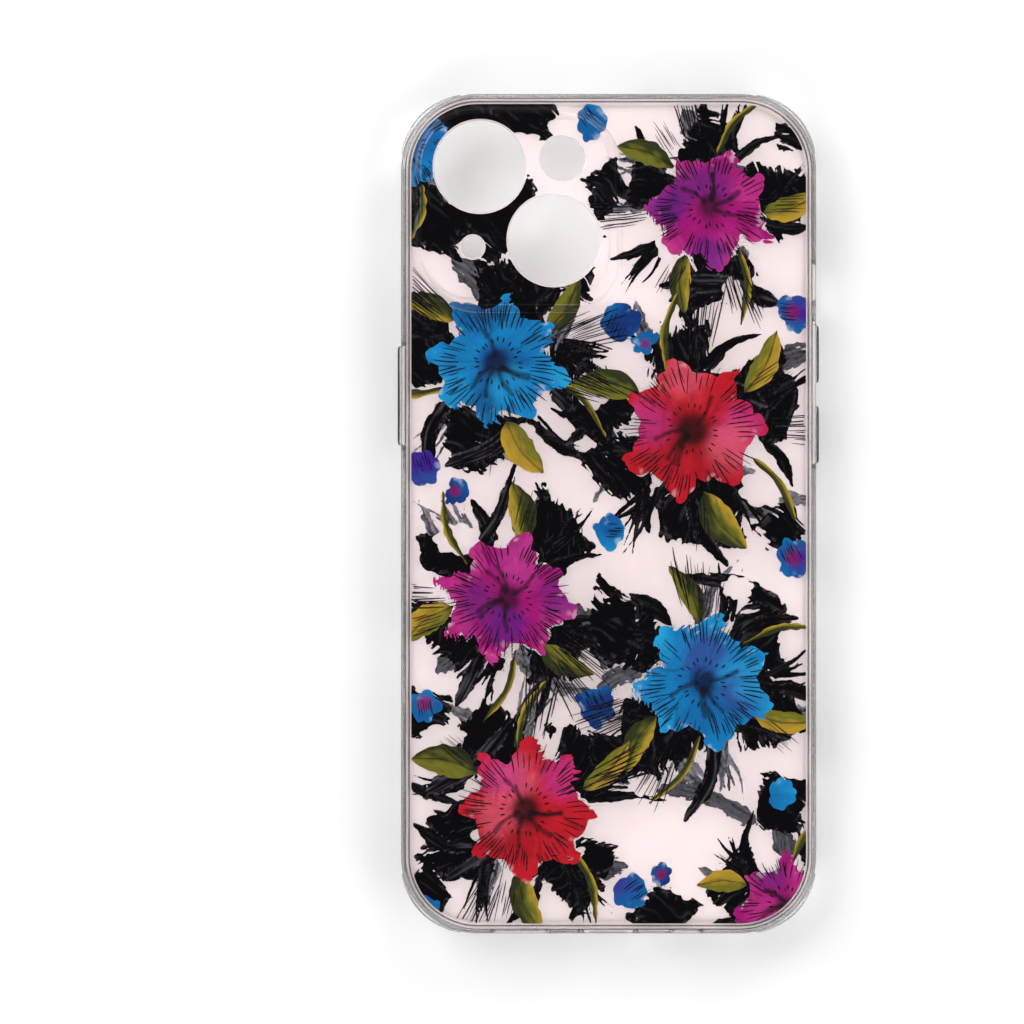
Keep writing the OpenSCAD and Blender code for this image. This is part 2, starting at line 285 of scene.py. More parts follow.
CUSHION_R = 12.2
CUSHION_REACH = CUSHION_R - 1.5
CUSHION_SEAT = 0.4
CUSHION_LOW, CUSHION_HIGH = MID_Z - 3.6, MID_Z + 3.6


def seat_cutter(sx, sy):
    """The room that a cushion takes from the bumper's corner."""
    inner = corner_path(BODY_R - CUSHION_SEAT, CUSHION_SEAT, sx, sy, CUSHION_REACH)
    outer = corner_path(CUSHION_R + 2, -2, sx, sy, CUSHION_REACH)
    outline = np.concatenate([inner, outer[::-1]])
    return loft("seat", [at_height(outline, CUSHION_LOW), at_height(outline, CUSHION_HIGH)])


def make_bumper():
    section = [(-LIP_LAP, LIP_TOP - 0.12), (-LIP_LAP, 0.45)]
    section += arc_points(-LIP_LAP + 0.45, 0.45, 0.45, 180, 270, 5)[1:]
    section += arc_points(WALL - EDGE_R, EDGE_R, EDGE_R, -90, 0, 10)
    section += arc_points(WALL - EDGE_R, RIM_TOP - EDGE_R, EDGE_R, 0, 90, 10)
    section += [(-RIM_LAP + 0.08, RIM_TOP), (-RIM_LAP, RIM_TOP - 0.08)]
    section += [(-RIM_LAP, FLANGE_TOP), (FLANGE_U, FLANGE_TOP), (FLANGE_U, CAVITY_TOP)]
    section += [(0.12, CAVITY_TOP), (0.0, CAVITY_TOP - 0.12), (0.0, LIP_TOP + 0.12)]
    section += [(-0.12, LIP_TOP), (-LIP_LAP + 0.12, LIP_TOP)]
    shell = loft("bumper", [at_height(case_ring(u), z) for u, z in section], closed=True)
    right = lambda y: (lambda outline, u: on_side(outline, y, u, 1))
    left = lambda y: (lambda outline, u: on_side(outline, y, u, -1))
    end = lambda x: (lambda outline, u: on_end(outline, x, u))
    cutters = [
        mouth(right(21.45), 26.9, 5.0, 0.22, 0.3),
        mouth(left(21.2), 19.9, 5.0, 0.22, 0.3),
        mouth(right(41.5), 8.4, 4.8, 0.6, 0.35),
        mouth(end(0), 11.0, 6.0, 0.3, 0.35),
        mouth(end(-15.8), 11.0, 3.0, 0.3, 0.35),
        mouth(end(14.0), 6.2, 3.0, 0.3, 0.35),
    ]
    cutters += [seat_cutter(sx, sy) for sx in (-1, 1) for sy in (-1, 1)]
    mesh = combine("bumper_shell", shell, cutters, "DIFFERENCE")
    shade(mesh, 28)
    piece = new_object("bumper_shell", mesh)
    even_normals(piece)
    return piece


def make_cushion(name, sx, sy):
    """A crescent with soft edges, hollow behind: an air pocket in its inner face."""
    gap = 0.03
    inner = corner_path(BODY_R - CUSHION_SEAT + gap, CUSHION_SEAT - gap, sx, sy, CUSHION_REACH - gap)
    outer = corner_path(CUSHION_R, 0, sx, sy, CUSHION_REACH - gap)
    low, high = CUSHION_LOW + gap, CUSHION_HIGH - gap
    rows = len(inner)
    face_steps, side_steps = 16, 8
    rings = []
    for k in range(rows):
        t = 2 * k / (rows - 1) - 1
        thick = np.hypot(*(outer[k] - inner[k]))
        way = (outer[k] - inner[k]) / thick
        soft = min(0.9, thick * 0.55)
        ring = []
        for j in range(face_steps + 1):
            z = low + (high - low) * j / face_steps
            v = (z - MID_Z) / 2.6
            hollow = 0.45 * max(0.0, 1 - (abs(t) / 0.42) ** 3 - abs(v) ** 3) ** 0.4
            ring.append((*(inner[k] + way * hollow), z))
        for centre_z, start in ((high - soft, 90), (low + soft, 0)):
            for j in range(side_steps + 1):
                a = math.radians(start - 90 * j / side_steps)
                ring.append((*(inner[k] + way * (thick - soft + soft * math.cos(a))),
                             centre_z + soft * math.sin(a)))
        rings.append(np.array(ring))
    mesh = loft(name, rings)
    shade(mesh, 40)
    piece = new_object(name, mesh)
    even_normals(piece)
    return piece


# ---------- keys and membranes ----------

KEY_H = 3.0
MOAT = 1.0
BOSS_SHRINK = 0.6
KEY_TOP = WALL + 0.7


def make_key(name, y, length, side):
    """A boss, a wider cap with a rounded edge, and a slightly crowned top."""
    rings = [on_side(stadium(length, KEY_H, BOSS_SHRINK + 0.08), y, 0.43, side)]
    rings.append(on_side(stadium(length, KEY_H, BOSS_SHRINK), y, 0.5, side))
    rings.append(on_side(stadium(length, KEY_H, BOSS_SHRINK), y, 0.95, side))
    rings.append(on_side(stadium(length, KEY_H, 0.1), y, 0.95, side))
    rings.append(on_side(stadium(length, KEY_H, 0.0), y, 1.05, side))
    edge = 0.42
    for k in range(8):
        a = math.radians(90 * k / 7)
        rings.append(on_side(stadium(length, KEY_H, edge * (1 - math.cos(a))), y,
                             KEY_TOP - 0.06 - edge + edge * math.sin(a), side))
    for inset, rise in ((0.7, 0.03), (1.0, 0.05), (1.3, 0.06)):
        rings.append(on_side(stadium(length, KEY_H, inset), y, KEY_TOP - 0.06 + rise, side))
    mesh = loft(name, rings)
    shade(mesh, 40)
    piece = new_object(name, mesh)
    even_normals(piece)
    return piece


def make_membrane(name, y, length, side, keys):
    """A thin dished skin that fills the moat, with a hole round each key's boss."""
    height = KEY_H + 2 * MOAT
    gap = 0.02
    rings = [on_side(stadium(length, height, 1.6), y, 0.15, side)]
    for inset, u in ((1.2, 0.15), (0.8, 0.13), (0.4, 0.11), (gap + 0.06, 0.15), (gap, 0.22),
                     (gap, 0.42), (gap + 0.06, 0.47), (0.35, 0.4), (0.8, 0.38), (1.2, 0.42),
                     (1.6, 0.43)):
        rings.append(on_side(stadium(length, height, inset), y, u, side))
    mesh = loft(name, rings)
    cutters = [
        loft("hole", [on_side(stadium(l, KEY_H, BOSS_SHRINK - 0.1), at, u, side) for u in (-1, 2)])
        for at, l in keys
    ]
    mesh = combine(name, mesh, cutters, "DIFFERENCE")
    shade(mesh, 35)
    piece = new_object(name, mesh)
    even_normals(piece)
    return piece


# ---------- back plate ----------


def make_plate():
    step = [(FLANGE_U - 0.03, CAVITY_TOP + 0.02), (FLANGE_U - 0.03, FLANGE_TOP - 0.02),
            (-RIM_LAP - 0.03, FLANGE_TOP - 0.02), (-RIM_LAP - 0.03, PLATE_TOP - 0.12),
            (-RIM_LAP - 0.07, PLATE_TOP - 0.035), (-RIM_LAP - 0.15, PLATE_TOP)]
    slab = loft("slab", [at_height(case_ring(u), z) for u, z in step])
    rise = PLATEAU_TOP - PLATE_TOP
    steps = 14
    rings = [at_height(rounded_box(*PLATEAU, PLATEAU_R, 0), PLATE_TOP - 0.5)]
    for k in range(steps + 1):
        t = k / steps
        rings.append(at_height(rounded_box(*PLATEAU, PLATEAU_R, SLOPE_RUN * t),
                               PLATE_TOP + rise * slope(t)))
    block = loft("plateau", rings)
    plate = combine("plate_solid", slab, [block], "UNION")
    cutters = []
    soft = 0.5
    rings = [at_height(rounded_box(*POCKET, POCKET_R, 0), CAVITY_TOP - 2)]
    for k in range(6):
        a = math.radians(90 * k / 5)
        rings.append(at_height(rounded_box(*POCKET, POCKET_R, soft * (1 - math.cos(a))),
                               POCKET_TOP - soft + soft * math.sin(a)))
    cutters.append(loft("pocket", rings))
    turn = np.linspace(0, 2 * math.pi, 97)[:-1]
    circle = np.column_stack([np.cos(turn), np.sin(turn)])
    for x, y, r in HOLES:
        rings = [at_height(circle * r + (x, y), CAVITY_TOP - 2)]
        edge = 0.22
        for k in range(5):
            a = math.radians(90 * k / 4)
            rings.append(at_height(circle * (r + edge * (1 - math.cos(a))) + (x, y),
                                   PLATEAU_TOP - edge + edge * math.sin(a)))
        rings.append(at_height(circle * (r + edge + 0.3) + (x, y), PLATEAU_TOP + 0.2))
        rings.append(at_height(circle * (r + edge + 0.3) + (x, y), PLATEAU_TOP + 2))
        cutters.append(loft("hole", rings))
    mesh = combine("back_plate_clear", plate, cutters, "DIFFERENCE")
    shade(mesh, 30)
    piece = new_object("back_plate_clear", mesh)
    even_normals(piece)
    return piece


def slope(t):
    """Rise of the plateau's side, from 0 at its crisp foot to 1 at its soft shoulder."""
    return 1 - (1 - np.clip(t, 0, 1)) ** SLOPE_POWER


# ---------- ink: a painting kept as fields on a fine grid ----------

STEP = 0.22
PRINT_W, PRINT_L = CAVITY_W / 2 - RIM_LAP - 0.25, CAVITY_L / 2 - RIM_LAP - 0.25
GX = np.arange(-PRINT_W - STEP, PRINT_W + 2 * STEP, STEP)
GY = np.arange(-PRINT_L - STEP, PRINT_L + 2 * STEP, STEP)
X, Y = np.meshgrid(GX, GY)


def rgb(code):
    """A colour from its display value, as scene-linear numbers."""
    value = np.array([int(code[k:k + 2], 16) / 255 for k in (0, 2, 4)])
    return np.where(value <= 0.04045, value / 12.92, ((value + 0.055) / 1.055) ** 2.4)


BLACK, SOOT = rgb("060508"), rgb("17131a")
CHARCOAL, ASH, LILAC, PALE = rgb("3b383e"), rgb("615d66"), rgb("4e475b"), rgb("918b95")
NAVY, BLUE, AZURE, CYAN, ICE = (rgb("062a66"), rgb("075a9a"), rgb("0a78b6"), rgb("1c9ad0"),
                                rgb("62c4ea"))
VIOLET, PURPLE, MAGENTA, PINK = rgb("34187c"), rgb("5e1c74"), rgb("9f0b6e"), rgb("bd3384")
WINE, CRIMSON, RED, ROSE = rgb("5c0613"), rgb("930c1b"), rgb("b91424"), rgb("de5a70")
MOSS, OLIVE, GOLD, OCHRE = rgb("2c3010"), rgb("6c6a1c"), rgb("b8942c"), rgb("8a5a1e")


def lattice(iu, iv, seed):
    n = (iu.astype(np.int64) * 374761393 + iv.astype(np.int64) * 668265263
         + seed * 1442695041) & 0xFFFFFFFF
    n = ((n ^ (n >> 13)) * 1274126177) & 0xFFFFFFFF
    return ((n ^ (n >> 16)) & 0xFFFFFFFF) / 4294967295.0


def noise(u, v, seed):
    """Smooth value noise from 0 to 1, the same on every run."""
    iu, iv = np.floor(u), np.floor(v)
    fu, fv = u - iu, v - iv
    fu, fv = fu * fu * (3 - 2 * fu), fv * fv * (3 - 2 * fv)
    a, b = lattice(iu, iv, seed), lattice(iu + 1, iv, seed)
    c, d = lattice(iu, iv + 1, seed), lattice(iu + 1, iv + 1, seed)
    return a + (b - a) * fu + (c - a) * fv + (a - b - c + d) * fu * fv


def cloud(x, y, size, seed):
    """Noise with no grain direction: two turned and mixed layers."""
    u, v = (0.84 * x + 0.54 * y) / size, (0.84 * y - 0.54 * x) / size
    p, q = (0.39 * x - 0.92 * y) / size, (0.92 * x + 0.39 * y) / size
    return 0.62 * noise(u, v, seed) + 0.38 * noise(p * 2.1, q * 2.1, seed + 13)


def ramp(value, low, high):
    t = np.clip((value - low) / (high - low), 0, 1)
    return t * t * (3 - 2 * t)


def blend(a, b, t):
    t = np.asarray(t)[..., None]
    return a * (1 - t) + b * t


def window(x0, x1, y0, y1):
    """The part of the grid that covers a box."""
    i0, i1 = np.searchsorted(GX, [x0, x1])
    j0, j1 = np.searchsorted(GY, [y0, y1])
    return slice(max(j0 - 1, 0), j1 + 1), slice(max(i0 - 1, 0), i1 + 1)


class Ink:
    """One pass of ink: a field that is above 0 where there is ink, its colour, and the way
    that its brush marks run."""

    def __init__(self):
        self.field = np.full(X.shape, -9.0)
        self.colour = np.zeros(X.shape + (3,))
        self.flow = np.zeros(X.shape + (2,))

    def lay(self, win, field, colour, across, length):
        old = self.field[win]
        take = (field > 0) | ((field > -2 * STEP) & (old <= 0) & (field > old))
        self.colour[win][take] = np.broadcast_to(colour, field.shape + (3,))[take]
        self.flow[win][take] = np.stack([across, length], -1)[take]
        np.maximum(old, field, out=old)

    def lift(self, win, field):
        """Takes ink away where field is above 0."""
        old = self.field[win]
        np.minimum(old, -field, out=old)


LAYERS = ("grey", "black", "olive", "blue", "magenta", "red")
ink = {name: Ink() for name in LAYERS}
hairs = []  # pen lines: (points, half width, colour)


def smooth_path(points, count):
    """Points evenly along a smooth curve through the given points."""
    p = np.array(points, float)
    if len(p) == 2:
        p = np.array([p[0], (p[0] + p[1]) / 2, p[1]])
    ends = np.vstack([2 * p[0] - p[1], p, 2 * p[-1] - p[-2]])
    out = []
    for k in range(1, len(ends) - 2):
        a, b, c, d = ends[k - 1:k + 3]
        for t in np.linspace(0, 1, 24, endpoint=False):
            out.append(0.5 * (2 * b + (c - a) * t + (2 * a - 5 * b + 4 * c - d) * t * t
                              + (3 * b - a - 3 * c + d) * t ** 3))
    out.append(p[-1])
    return resampled(np.array(out), count)


def along_path(points, reach):
    """For the grid round a curve: distance along, signed distance across, distance, length."""
    probe = smooth_path(points, 40)
    length = np.hypot(*np.diff(probe, axis=0).T).sum()
    path = smooth_path(points, max(8, int(length / 0.25)))
    win = window(path[:, 0].min() - reach, path[:, 0].max() + reach,
                 path[:, 1].min() - reach, path[:, 1].max() + reach)
    x, y = X[win], Y[win]
    way = np.gradient(path, axis=0)
    way /= np.hypot(*way.T)[:, None]
    run = np.linspace(0, length, len(path))
    gap = (x.ravel()[:, None] - path[:, 0]) ** 2 + (y.ravel()[:, None] - path[:, 1]) ** 2
    near = gap.argmin(1)
    off = np.column_stack([x.ravel(), y.ravel()]) - path[near]
    on = (off * way[near]).sum(1)
    side = off[:, 1] * way[near, 0] - off[:, 0] * way[near, 1]
    end = ((near == 0) & (on < 0)) | ((near == len(path) - 1) & (on > 0))
    dist = np.where(end, np.hypot(on, side), np.abs(side))
    return win, (run[near] + on).reshape(x.shape), side.reshape(x.shape), dist.reshape(x.shape), length


def stroke(layer, width, dry, points, seed, dark=BLACK, light=CHARCOAL, taper="brush"):
    """A brush stroke: bristle streaks run along it, and it breaks up where the brush is dry."""
    win, run, side, dist, length = along_path(points, width + 0.6)
    t = np.clip(run / length, 0, 1)
    if taper == "brush":
        half = width * np.minimum(1, (t / 0.12 + 0.12)) ** 0.6 * np.minimum(1, (1.02 - t) / 0.4) ** 0.5
    elif taper == "leaf":
        half = width * np.sin(math.pi * np.clip(t, 0.01, 0.99)) ** 0.75
    else:
        half = width * np.minimum(1, (1.03 - t) / 0.85) ** 0.9
    half = half * (0.86 + 0.28 * noise(run / 2.2, side * 0, seed + 5))
    fray = 1.3 if layer == "grey" else 0.55
    edge = half - dist + (cloud(run * 0.6, side, 0.7, seed + 1) - 0.5) * fray * min(1, width)
    bristle = noise(run / 5.5, side / 0.34 + 40, seed + 2) * 0.65 + noise(run / 1.6, side / 0.2, seed + 3) * 0.35
    bristle = bristle + (cloud(run, side, 0.5, seed + 4) - 0.5) * 0.5 * dry
    need = dry * (0.22 + 0.78 * ramp(t, 0.25, 1.0)) * (0.55 + 0.45 * dist / np.maximum(half, 0.1))
    field = np.minimum(edge, (bristle - need * 0.78) * 1.6)
    tone = noise(run / 7, side / 0.3, seed + 7) * 0.7 + noise(run / 2, side / 0.22, seed + 8) * 0.3
    grain = cloud(run * 0.28, side * 1.7, 0.5, seed + 9) * 0.62 + cloud(run, side, 0.34, seed + 19) * 0.38
    frayed = ramp(dist / np.maximum(half, 0.1), 0.35, 1.0)
    if layer == "black":
        share = ramp(tone, 0.55, 0.85) * 0.4 + ramp(grain, 0.56, 0.72) * frayed * 0.75
    else:
        share = np.clip(ramp(tone, 0.3, 0.8) * 0.6 + (grain - 0.45) * 1.9, 0, 1)
        dark = blend(dark, BLACK, ramp(0.42 - grain, 0.0, 0.14) * 0.8)
    field = np.minimum(field, field + (grain - 0.42) * (2.0 if layer == "grey" else 1.1) * frayed)
    ink[layer].lay(win, field, blend(dark, light, np.clip(share, 0, 1)), side, run)


def leaf(width, points, seed, dark=MOSS, mid=OLIVE, light=GOLD, turn=1, layer="olive"):
    """A leaf: dark on one side of its rib, gold towards the other edge."""
    win, run, side, dist, length = along_path(points, width + 0.6)
    t = np.clip(run / length, 0, 1)
    half = width * np.sin(math.pi * np.clip(t, 0.01, 0.99) ** 0.85) ** 0.8
    edge = half - dist + (noise(run / 1.1, side * 0, seed) - 0.5) * 0.4
    v = side * turn / np.maximum(half, 0.2)
    vein = noise(run / 1.5 + side * 0.5, side / 0.45, seed + 1)
    fine = noise(run / 0.5 + side * 1.2, side / 1.1, seed + 2)
    colour = blend(dark, mid, ramp(v * 0.55 + vein * 0.5 + t * 0.25, 0.0, 0.62))
    colour = blend(colour, light, ramp(v + vein * 0.5 + fine * 0.2 - 0.35, 0.25, 0.95) * 0.85)
    colour = blend(colour, BLACK, ramp(0.16 - np.abs(side + 0.05) + 0.05 * fine, 0, 0.12) * 0.75)
    colour = blend(colour, BLACK, ramp(0.18 - t, 0, 0.18) * 0.6)
    ink[layer].lay(win, edge, colour, side, run)


def outline(points, x, y):
    """Signed distance to a closed outline, above 0 inside, and the distance run along it."""
    near = np.full(x.shape, 1e9)
    inside = np.zeros(x.shape, bool)
    run = np.zeros(x.shape)
    total = 0.0
    for a, b in zip(points, np.roll(points, -1, 0)):
        d = b - a
        span = math.hypot(*d)
        t = np.clip(((x - a[0]) * d[0] + (y - a[1]) * d[1]) / span ** 2, 0, 1)
        gap = np.hypot(x - a[0] - t * d[0], y - a[1] - t * d[1])
        run = np.where(gap < near, total + t * span, run)
        near = np.minimum(near, gap)
        total += span
        if a[1] != b[1]:
            inside ^= ((a[1] > y) != (b[1] > y)) & (x < d[0] * (y - a[1]) / d[1] + a[0])
    return np.where(inside, near, -near), run


def mass(points, seed, ragged=0.8, scallop=0.0, layer="black", dark=BLACK, light=CHARCOAL, dry=0.15):
    """A filled area with ragged or scalloped edges and dragged streaks."""
    p = np.array(points, float)
    reach = ragged + scallop + 2.8
    win = window(p[:, 0].min() - reach, p[:, 0].max() + reach, p[:, 1].min() - reach,
                 p[:, 1].max() + reach)
    x, y = X[win], Y[win]
    shift = cloud(x, y, 5, seed + 8) - 0.5
    y = y + (cloud(x, y, 5, seed + 9) - 0.5) * 3.4
    x = x + shift * 3.4
    signed, run = outline(p, x, y)
    turn = seed * 0.7
    along = x * math.cos(turn) + y * math.sin(turn)
    across = -x * math.sin(turn) + y * math.cos(turn)
    edge = signed + (cloud(x, y, 2.4, seed) - 0.5) * 2.2 * ragged
    edge += (noise(along / 2.5, across / 0.4, seed + 1) - 0.5) * ragged
    if scallop:
        edge += scallop * (np.abs(np.sin(run * 0.85 + cloud(x, y, 5, seed + 3) * 3)) - 0.5) * 2
    bristle = noise(along / 4, across / 0.36, seed + 4) * 0.6 + noise(along / 1.2, across / 0.25, seed + 5) * 0.4
    field = np.minimum(edge, (bristle - dry * (0.6 + 0.9 * ramp(-edge, -2.2, 0))) * 1.6)
    tone = noise(along / 6, across / 0.4, seed + 6) * 0.65 + noise(along / 1.7, across / 0.25, seed + 7) * 0.35
    fleck = cloud(x, y, 0.6, seed + 21)
    share = ramp(tone, 0.66, 0.88) * 0.5 + ramp(fleck, 0.6, 0.74) * ramp(-edge, -1.7, -0.2) * 0.8
    field = np.minimum(field, edge + (fleck - 0.42) * 1.2)
    ink[layer].lay(win, field, blend(dark, light, np.clip(share, 0, 1)), across, along)


def wash(layer, points, tones, seed, heart, lobe=0.7, comb=0.5, tints=(), folds=(), period=3.4):
    """A flower painted wet in wet: a lobed outline, combed in places, soft changes of tone,
    soft patches of other colours (x, y, radius, colour, strength) and dark folds
    (half width, strength, points)."""
    corners = np.array(list(points) + [points[0]], float)
    p = smooth_path(corners, 90)[:-1]
    win = window(p[:, 0].min() - 2.5, p[:, 0].max() + 2.5, p[:, 1].min() - 2.5, p[:, 1].max() + 2.5)
    x, y = X[win], Y[win]
    wx = x + (cloud(x, y, 3.2, seed + 1) - 0.5) * 1.6
    wy = y + (cloud(x, y, 3.2, seed + 2) - 0.5) * 1.6
    signed, run = outline(p, wx, wy)
    phase = run + cloud(x, y, 7, seed + 3) * 5
    edge = signed + lobe * (np.abs(np.sin(phase * math.pi / period)) ** 0.8 - 0.55)
    away = np.hypot(x - heart[0], y - heart[1])
    turn = np.arctan2(y - heart[1], x - heart[0])
    teeth = noise(turn * away / 0.42 + 60, away * 0.08, seed + 4) - 0.45
    edge = edge + comb * 2.4 * teeth * ramp(cloud(x, y, 6, seed + 5), 0.54, 0.68)
    edge = edge + (cloud(x, y, 1.1, seed + 6) - 0.5) * 0.3
    streak = noise(turn * away / 1.4 + 90, away / 5, seed + 7) - 0.5
    level = (1 - np.exp(-(away / 7.5) ** 1.3)) * (len(tones) - 1)
    level = level + (cloud(x, y, 6.5, seed + 8) - 0.5) * 2.6 + streak * 0.45
    level = np.clip(level, 0, len(tones) - 1.001)
    low = np.floor(level).astype(int)
    palette = np.array(tones)
    colour = blend(palette[low], palette[np.minimum(low + 1, len(tones) - 1)], level - low)
    petal = np.abs(np.sin(turn * 2.6 + seed + (cloud(x, y, 7, seed + 9) - 0.5) * 2.4))
    colour = colour * (1 - 0.38 * ramp(0.2 - petal, 0.0, 0.2) * ramp(away, 2.0, 6.0))[..., None]
    for tx, ty, radius, tone, strength in tints:
        soft = np.exp(-((x - tx) ** 2 + (y - ty) ** 2) / radius ** 2) * (1 + streak * 0.7)
        colour = blend(colour, tone, strength * ramp(soft, 0.1, 0.8))
    for width, strength, line in folds:
        path = smooth_path(line, 30)
        gap = np.sqrt(np.min((x[..., None] - path[:, 0]) ** 2 + (y[..., None] - path[:, 1]) ** 2, -1))
        share = ramp(width * 1.35 - gap + streak * 0.3, 0.0, width * 1.1)
        colour = blend(colour, BLACK, strength * share)
    bright = ramp(cloud(x * 1.0, y, 1.5, seed + 10), 0.68, 0.8) * ramp(edge, 1.6, 0.2)
    colour = blend(colour, palette[-1] * 0.55 + 0.4, 0.55 * bright)
    ink[layer].lay(win, edge, colour, turn * 3.0, away)


def bloom(layer, x, y, reach, tones, seed, tints=()):
    """A small flower: a few uneven lobes, darker at the heart."""
    rng = np.random.default_rng(seed)
    turn = rng.uniform(0, math.tau)
    points = [(x + reach * rng.uniform(0.68, 1.02) * math.cos(turn - math.tau * k / 7),
               y + reach * rng.uniform(0.68, 1.02) * math.sin(turn - math.tau * k / 7))
              for k in range(7)]
    wash(layer, points, tones, seed, (x + rng.uniform(-0.6, 0.6), y + rng.uniform(-0.6, 0.6)), 0.55, 0.12,
         tints, period=reach * 0.85)
    if reach > 3:
        way = rng.uniform(0, 360)
        hatching(x + 0.35 * reach * math.cos(math.radians(way)),
                 y + 0.35 * reach * math.sin(math.radians(way)), way, reach * 0.9, reach * 0.7, 6, seed + 1)


def tuft(layer, x, y, way, length, spread, count, width, seed, dark=BLACK, light=CHARCOAL, dry=0.25,
         scatter=1.5):
    """Quick strokes flicked out from about one place."""
    rng = np.random.default_rng(seed)
    for k in range(count):
        a = math.radians(way + rng.uniform(-spread, spread))
        b = a + rng.uniform(-0.35, 0.35)
        sx, sy = x + rng.uniform(-scatter, scatter), y + rng.uniform(-scatter, scatter)
        l = length * rng.uniform(0.55, 1.1)
        mid = (sx + l * 0.5 * math.cos(a), sy + l * 0.5 * math.sin(a))
        end = (mid[0] + l * 0.5 * math.cos(b), mid[1] + l * 0.5 * math.sin(b))
        stroke(layer, width * rng.uniform(0.5, 1.2), dry, [(sx, sy), mid, end], seed + 11 * k, dark, light,
               "stem")


def clearing(x, y, rx, ry, seed, layers=("grey", "black"), scallop=0.22):
    """Takes the dark inks away from a patch with a scalloped edge."""
    win = window(x - rx * 1.4, x + rx * 1.4, y - ry * 1.4, y + ry * 1.4)
    dx, dy = (X[win] - x) / rx, (Y[win] - y) / ry
    turn = np.arctan2(dy, dx)
    edge = 1 + scallop * (np.abs(np.sin(turn * 3.5 + seed)) - 0.6)
    edge = edge + (cloud(X[win], Y[win], 1.6, seed) - 0.5) * 0.35
    field = (edge - np.hypot(dx, dy)) * min(rx, ry)
    for name in layers:
        ink[name].lift(win, field)


def hatching(x, y, way, length, width, count, seed, half=0.07, tone=None, lean=0.0):
    """A group of near-parallel pen lines, staggered at both ends."""
    rng = np.random.default_rng(seed)
    for k in range(count):
        off = width * ((k + rng.uniform(-0.25, 0.25)) / max(1, count - 1) - 0.5)
        a = math.radians(way + lean * off / width * 2 + rng.uniform(-3, 3))
        l = length * rng.uniform(0.45, 1.0)
        base = math.radians(way)
        slip = rng.uniform(-0.22, 0.22) * length
        sx = x - off * math.sin(base) + slip * math.cos(base)
        sy = y + off * math.cos(base) + slip * math.sin(base)
        bend = rng.uniform(-0.4, 0.7)
        line = [(sx + l * s * math.cos(a) - bend * (0.25 - s * s) * math.sin(a),
                 sy + l * s * math.sin(a) + bend * (0.25 - s * s) * math.cos(a))
                for s in np.linspace(-0.5, 0.5, 7)]
        hairs.append((line, half * rng.uniform(0.7, 1.4), SOOT if tone is None else tone))
# ---------- the floral print: a plain all-over pattern, in millimetres from the case's middle ----------

BLUES = [NAVY, BLUE, AZURE, AZURE, CYAN]
MAGENTAS = [MAGENTA * 0.6, MAGENTA, MAGENTA, PINK]
REDS = [WINE, CRIMSON, RED, RED, RED]

# Large flowers in a zigzag: x, y, reach, pass, tones, soft patches' colours, number of petals
FLOWERS = [
    (18, 55, 11.5, "magenta", MAGENTAS, (PURPLE, PINK, VIOLET), 7),
    (-20, 27, 12.5, "blue", BLUES, (CYAN, NAVY, AZURE), 8),
    (15, 15, 13.5, "red", REDS, (ROSE, CRIMSON, PINK), 7),
    (-18, -15, 12, "magenta", MAGENTAS, (VIOLET, PINK, PURPLE), 8),
    (17, -30, 12.5, "blue", BLUES, (VIOLET, CYAN, BLUE), 7),
    (-15, -53, 13, "red", REDS, (PINK, CRIMSON, ROSE), 8),
    (32, -70, 9.5, "magenta", MAGENTAS, (PURPLE, PINK, PINK), 7),
    (-36, 66, 9, "blue", BLUES, (CYAN, BLUE, VIOLET), 7),
]
# Small flowers in the gaps between them: x, y, reach
BLOOMS = [
    (-3, 70, 3.4), (33, 36, 3.6), (2, 35, 4.2), (6.5, 30.5, 2.4), (-33, 8, 3.8), (-27.5, 4, 2.4), (0, -3, 3.2),
    (33, -8, 3.8), (-2, -34, 4), (-33, -34, 3.4), (4, -68, 3.8), (9.5, -64.5, 2.3), (31, -50, 3), (-33, -71, 3.2),
]


def petal_ring(x, y, reach, petals, seed, notch=0.74):
    """An outline of uneven round petals about a centre."""
    rng = np.random.default_rng(seed)
    start = rng.uniform(0, math.tau)
    points = []
    for k in range(2 * petals):
        a = start + math.pi * (k + rng.uniform(-0.22, 0.22)) / petals
        r = reach * (notch if k % 2 else 1.0) * rng.uniform(0.9, 1.08)
        points.append((x + r * math.cos(a), y + r * math.sin(a)))
    return points


def away_from(x, y, a, near, far, bend=0.0):
    """Three points out from a centre at an angle, bent sideways."""
    return [(x + r * math.cos(a + turn), y + r * math.sin(a + turn))
            for r, turn in ((near, 0), ((near + far) / 2, bend), (far, 2.4 * bend))]


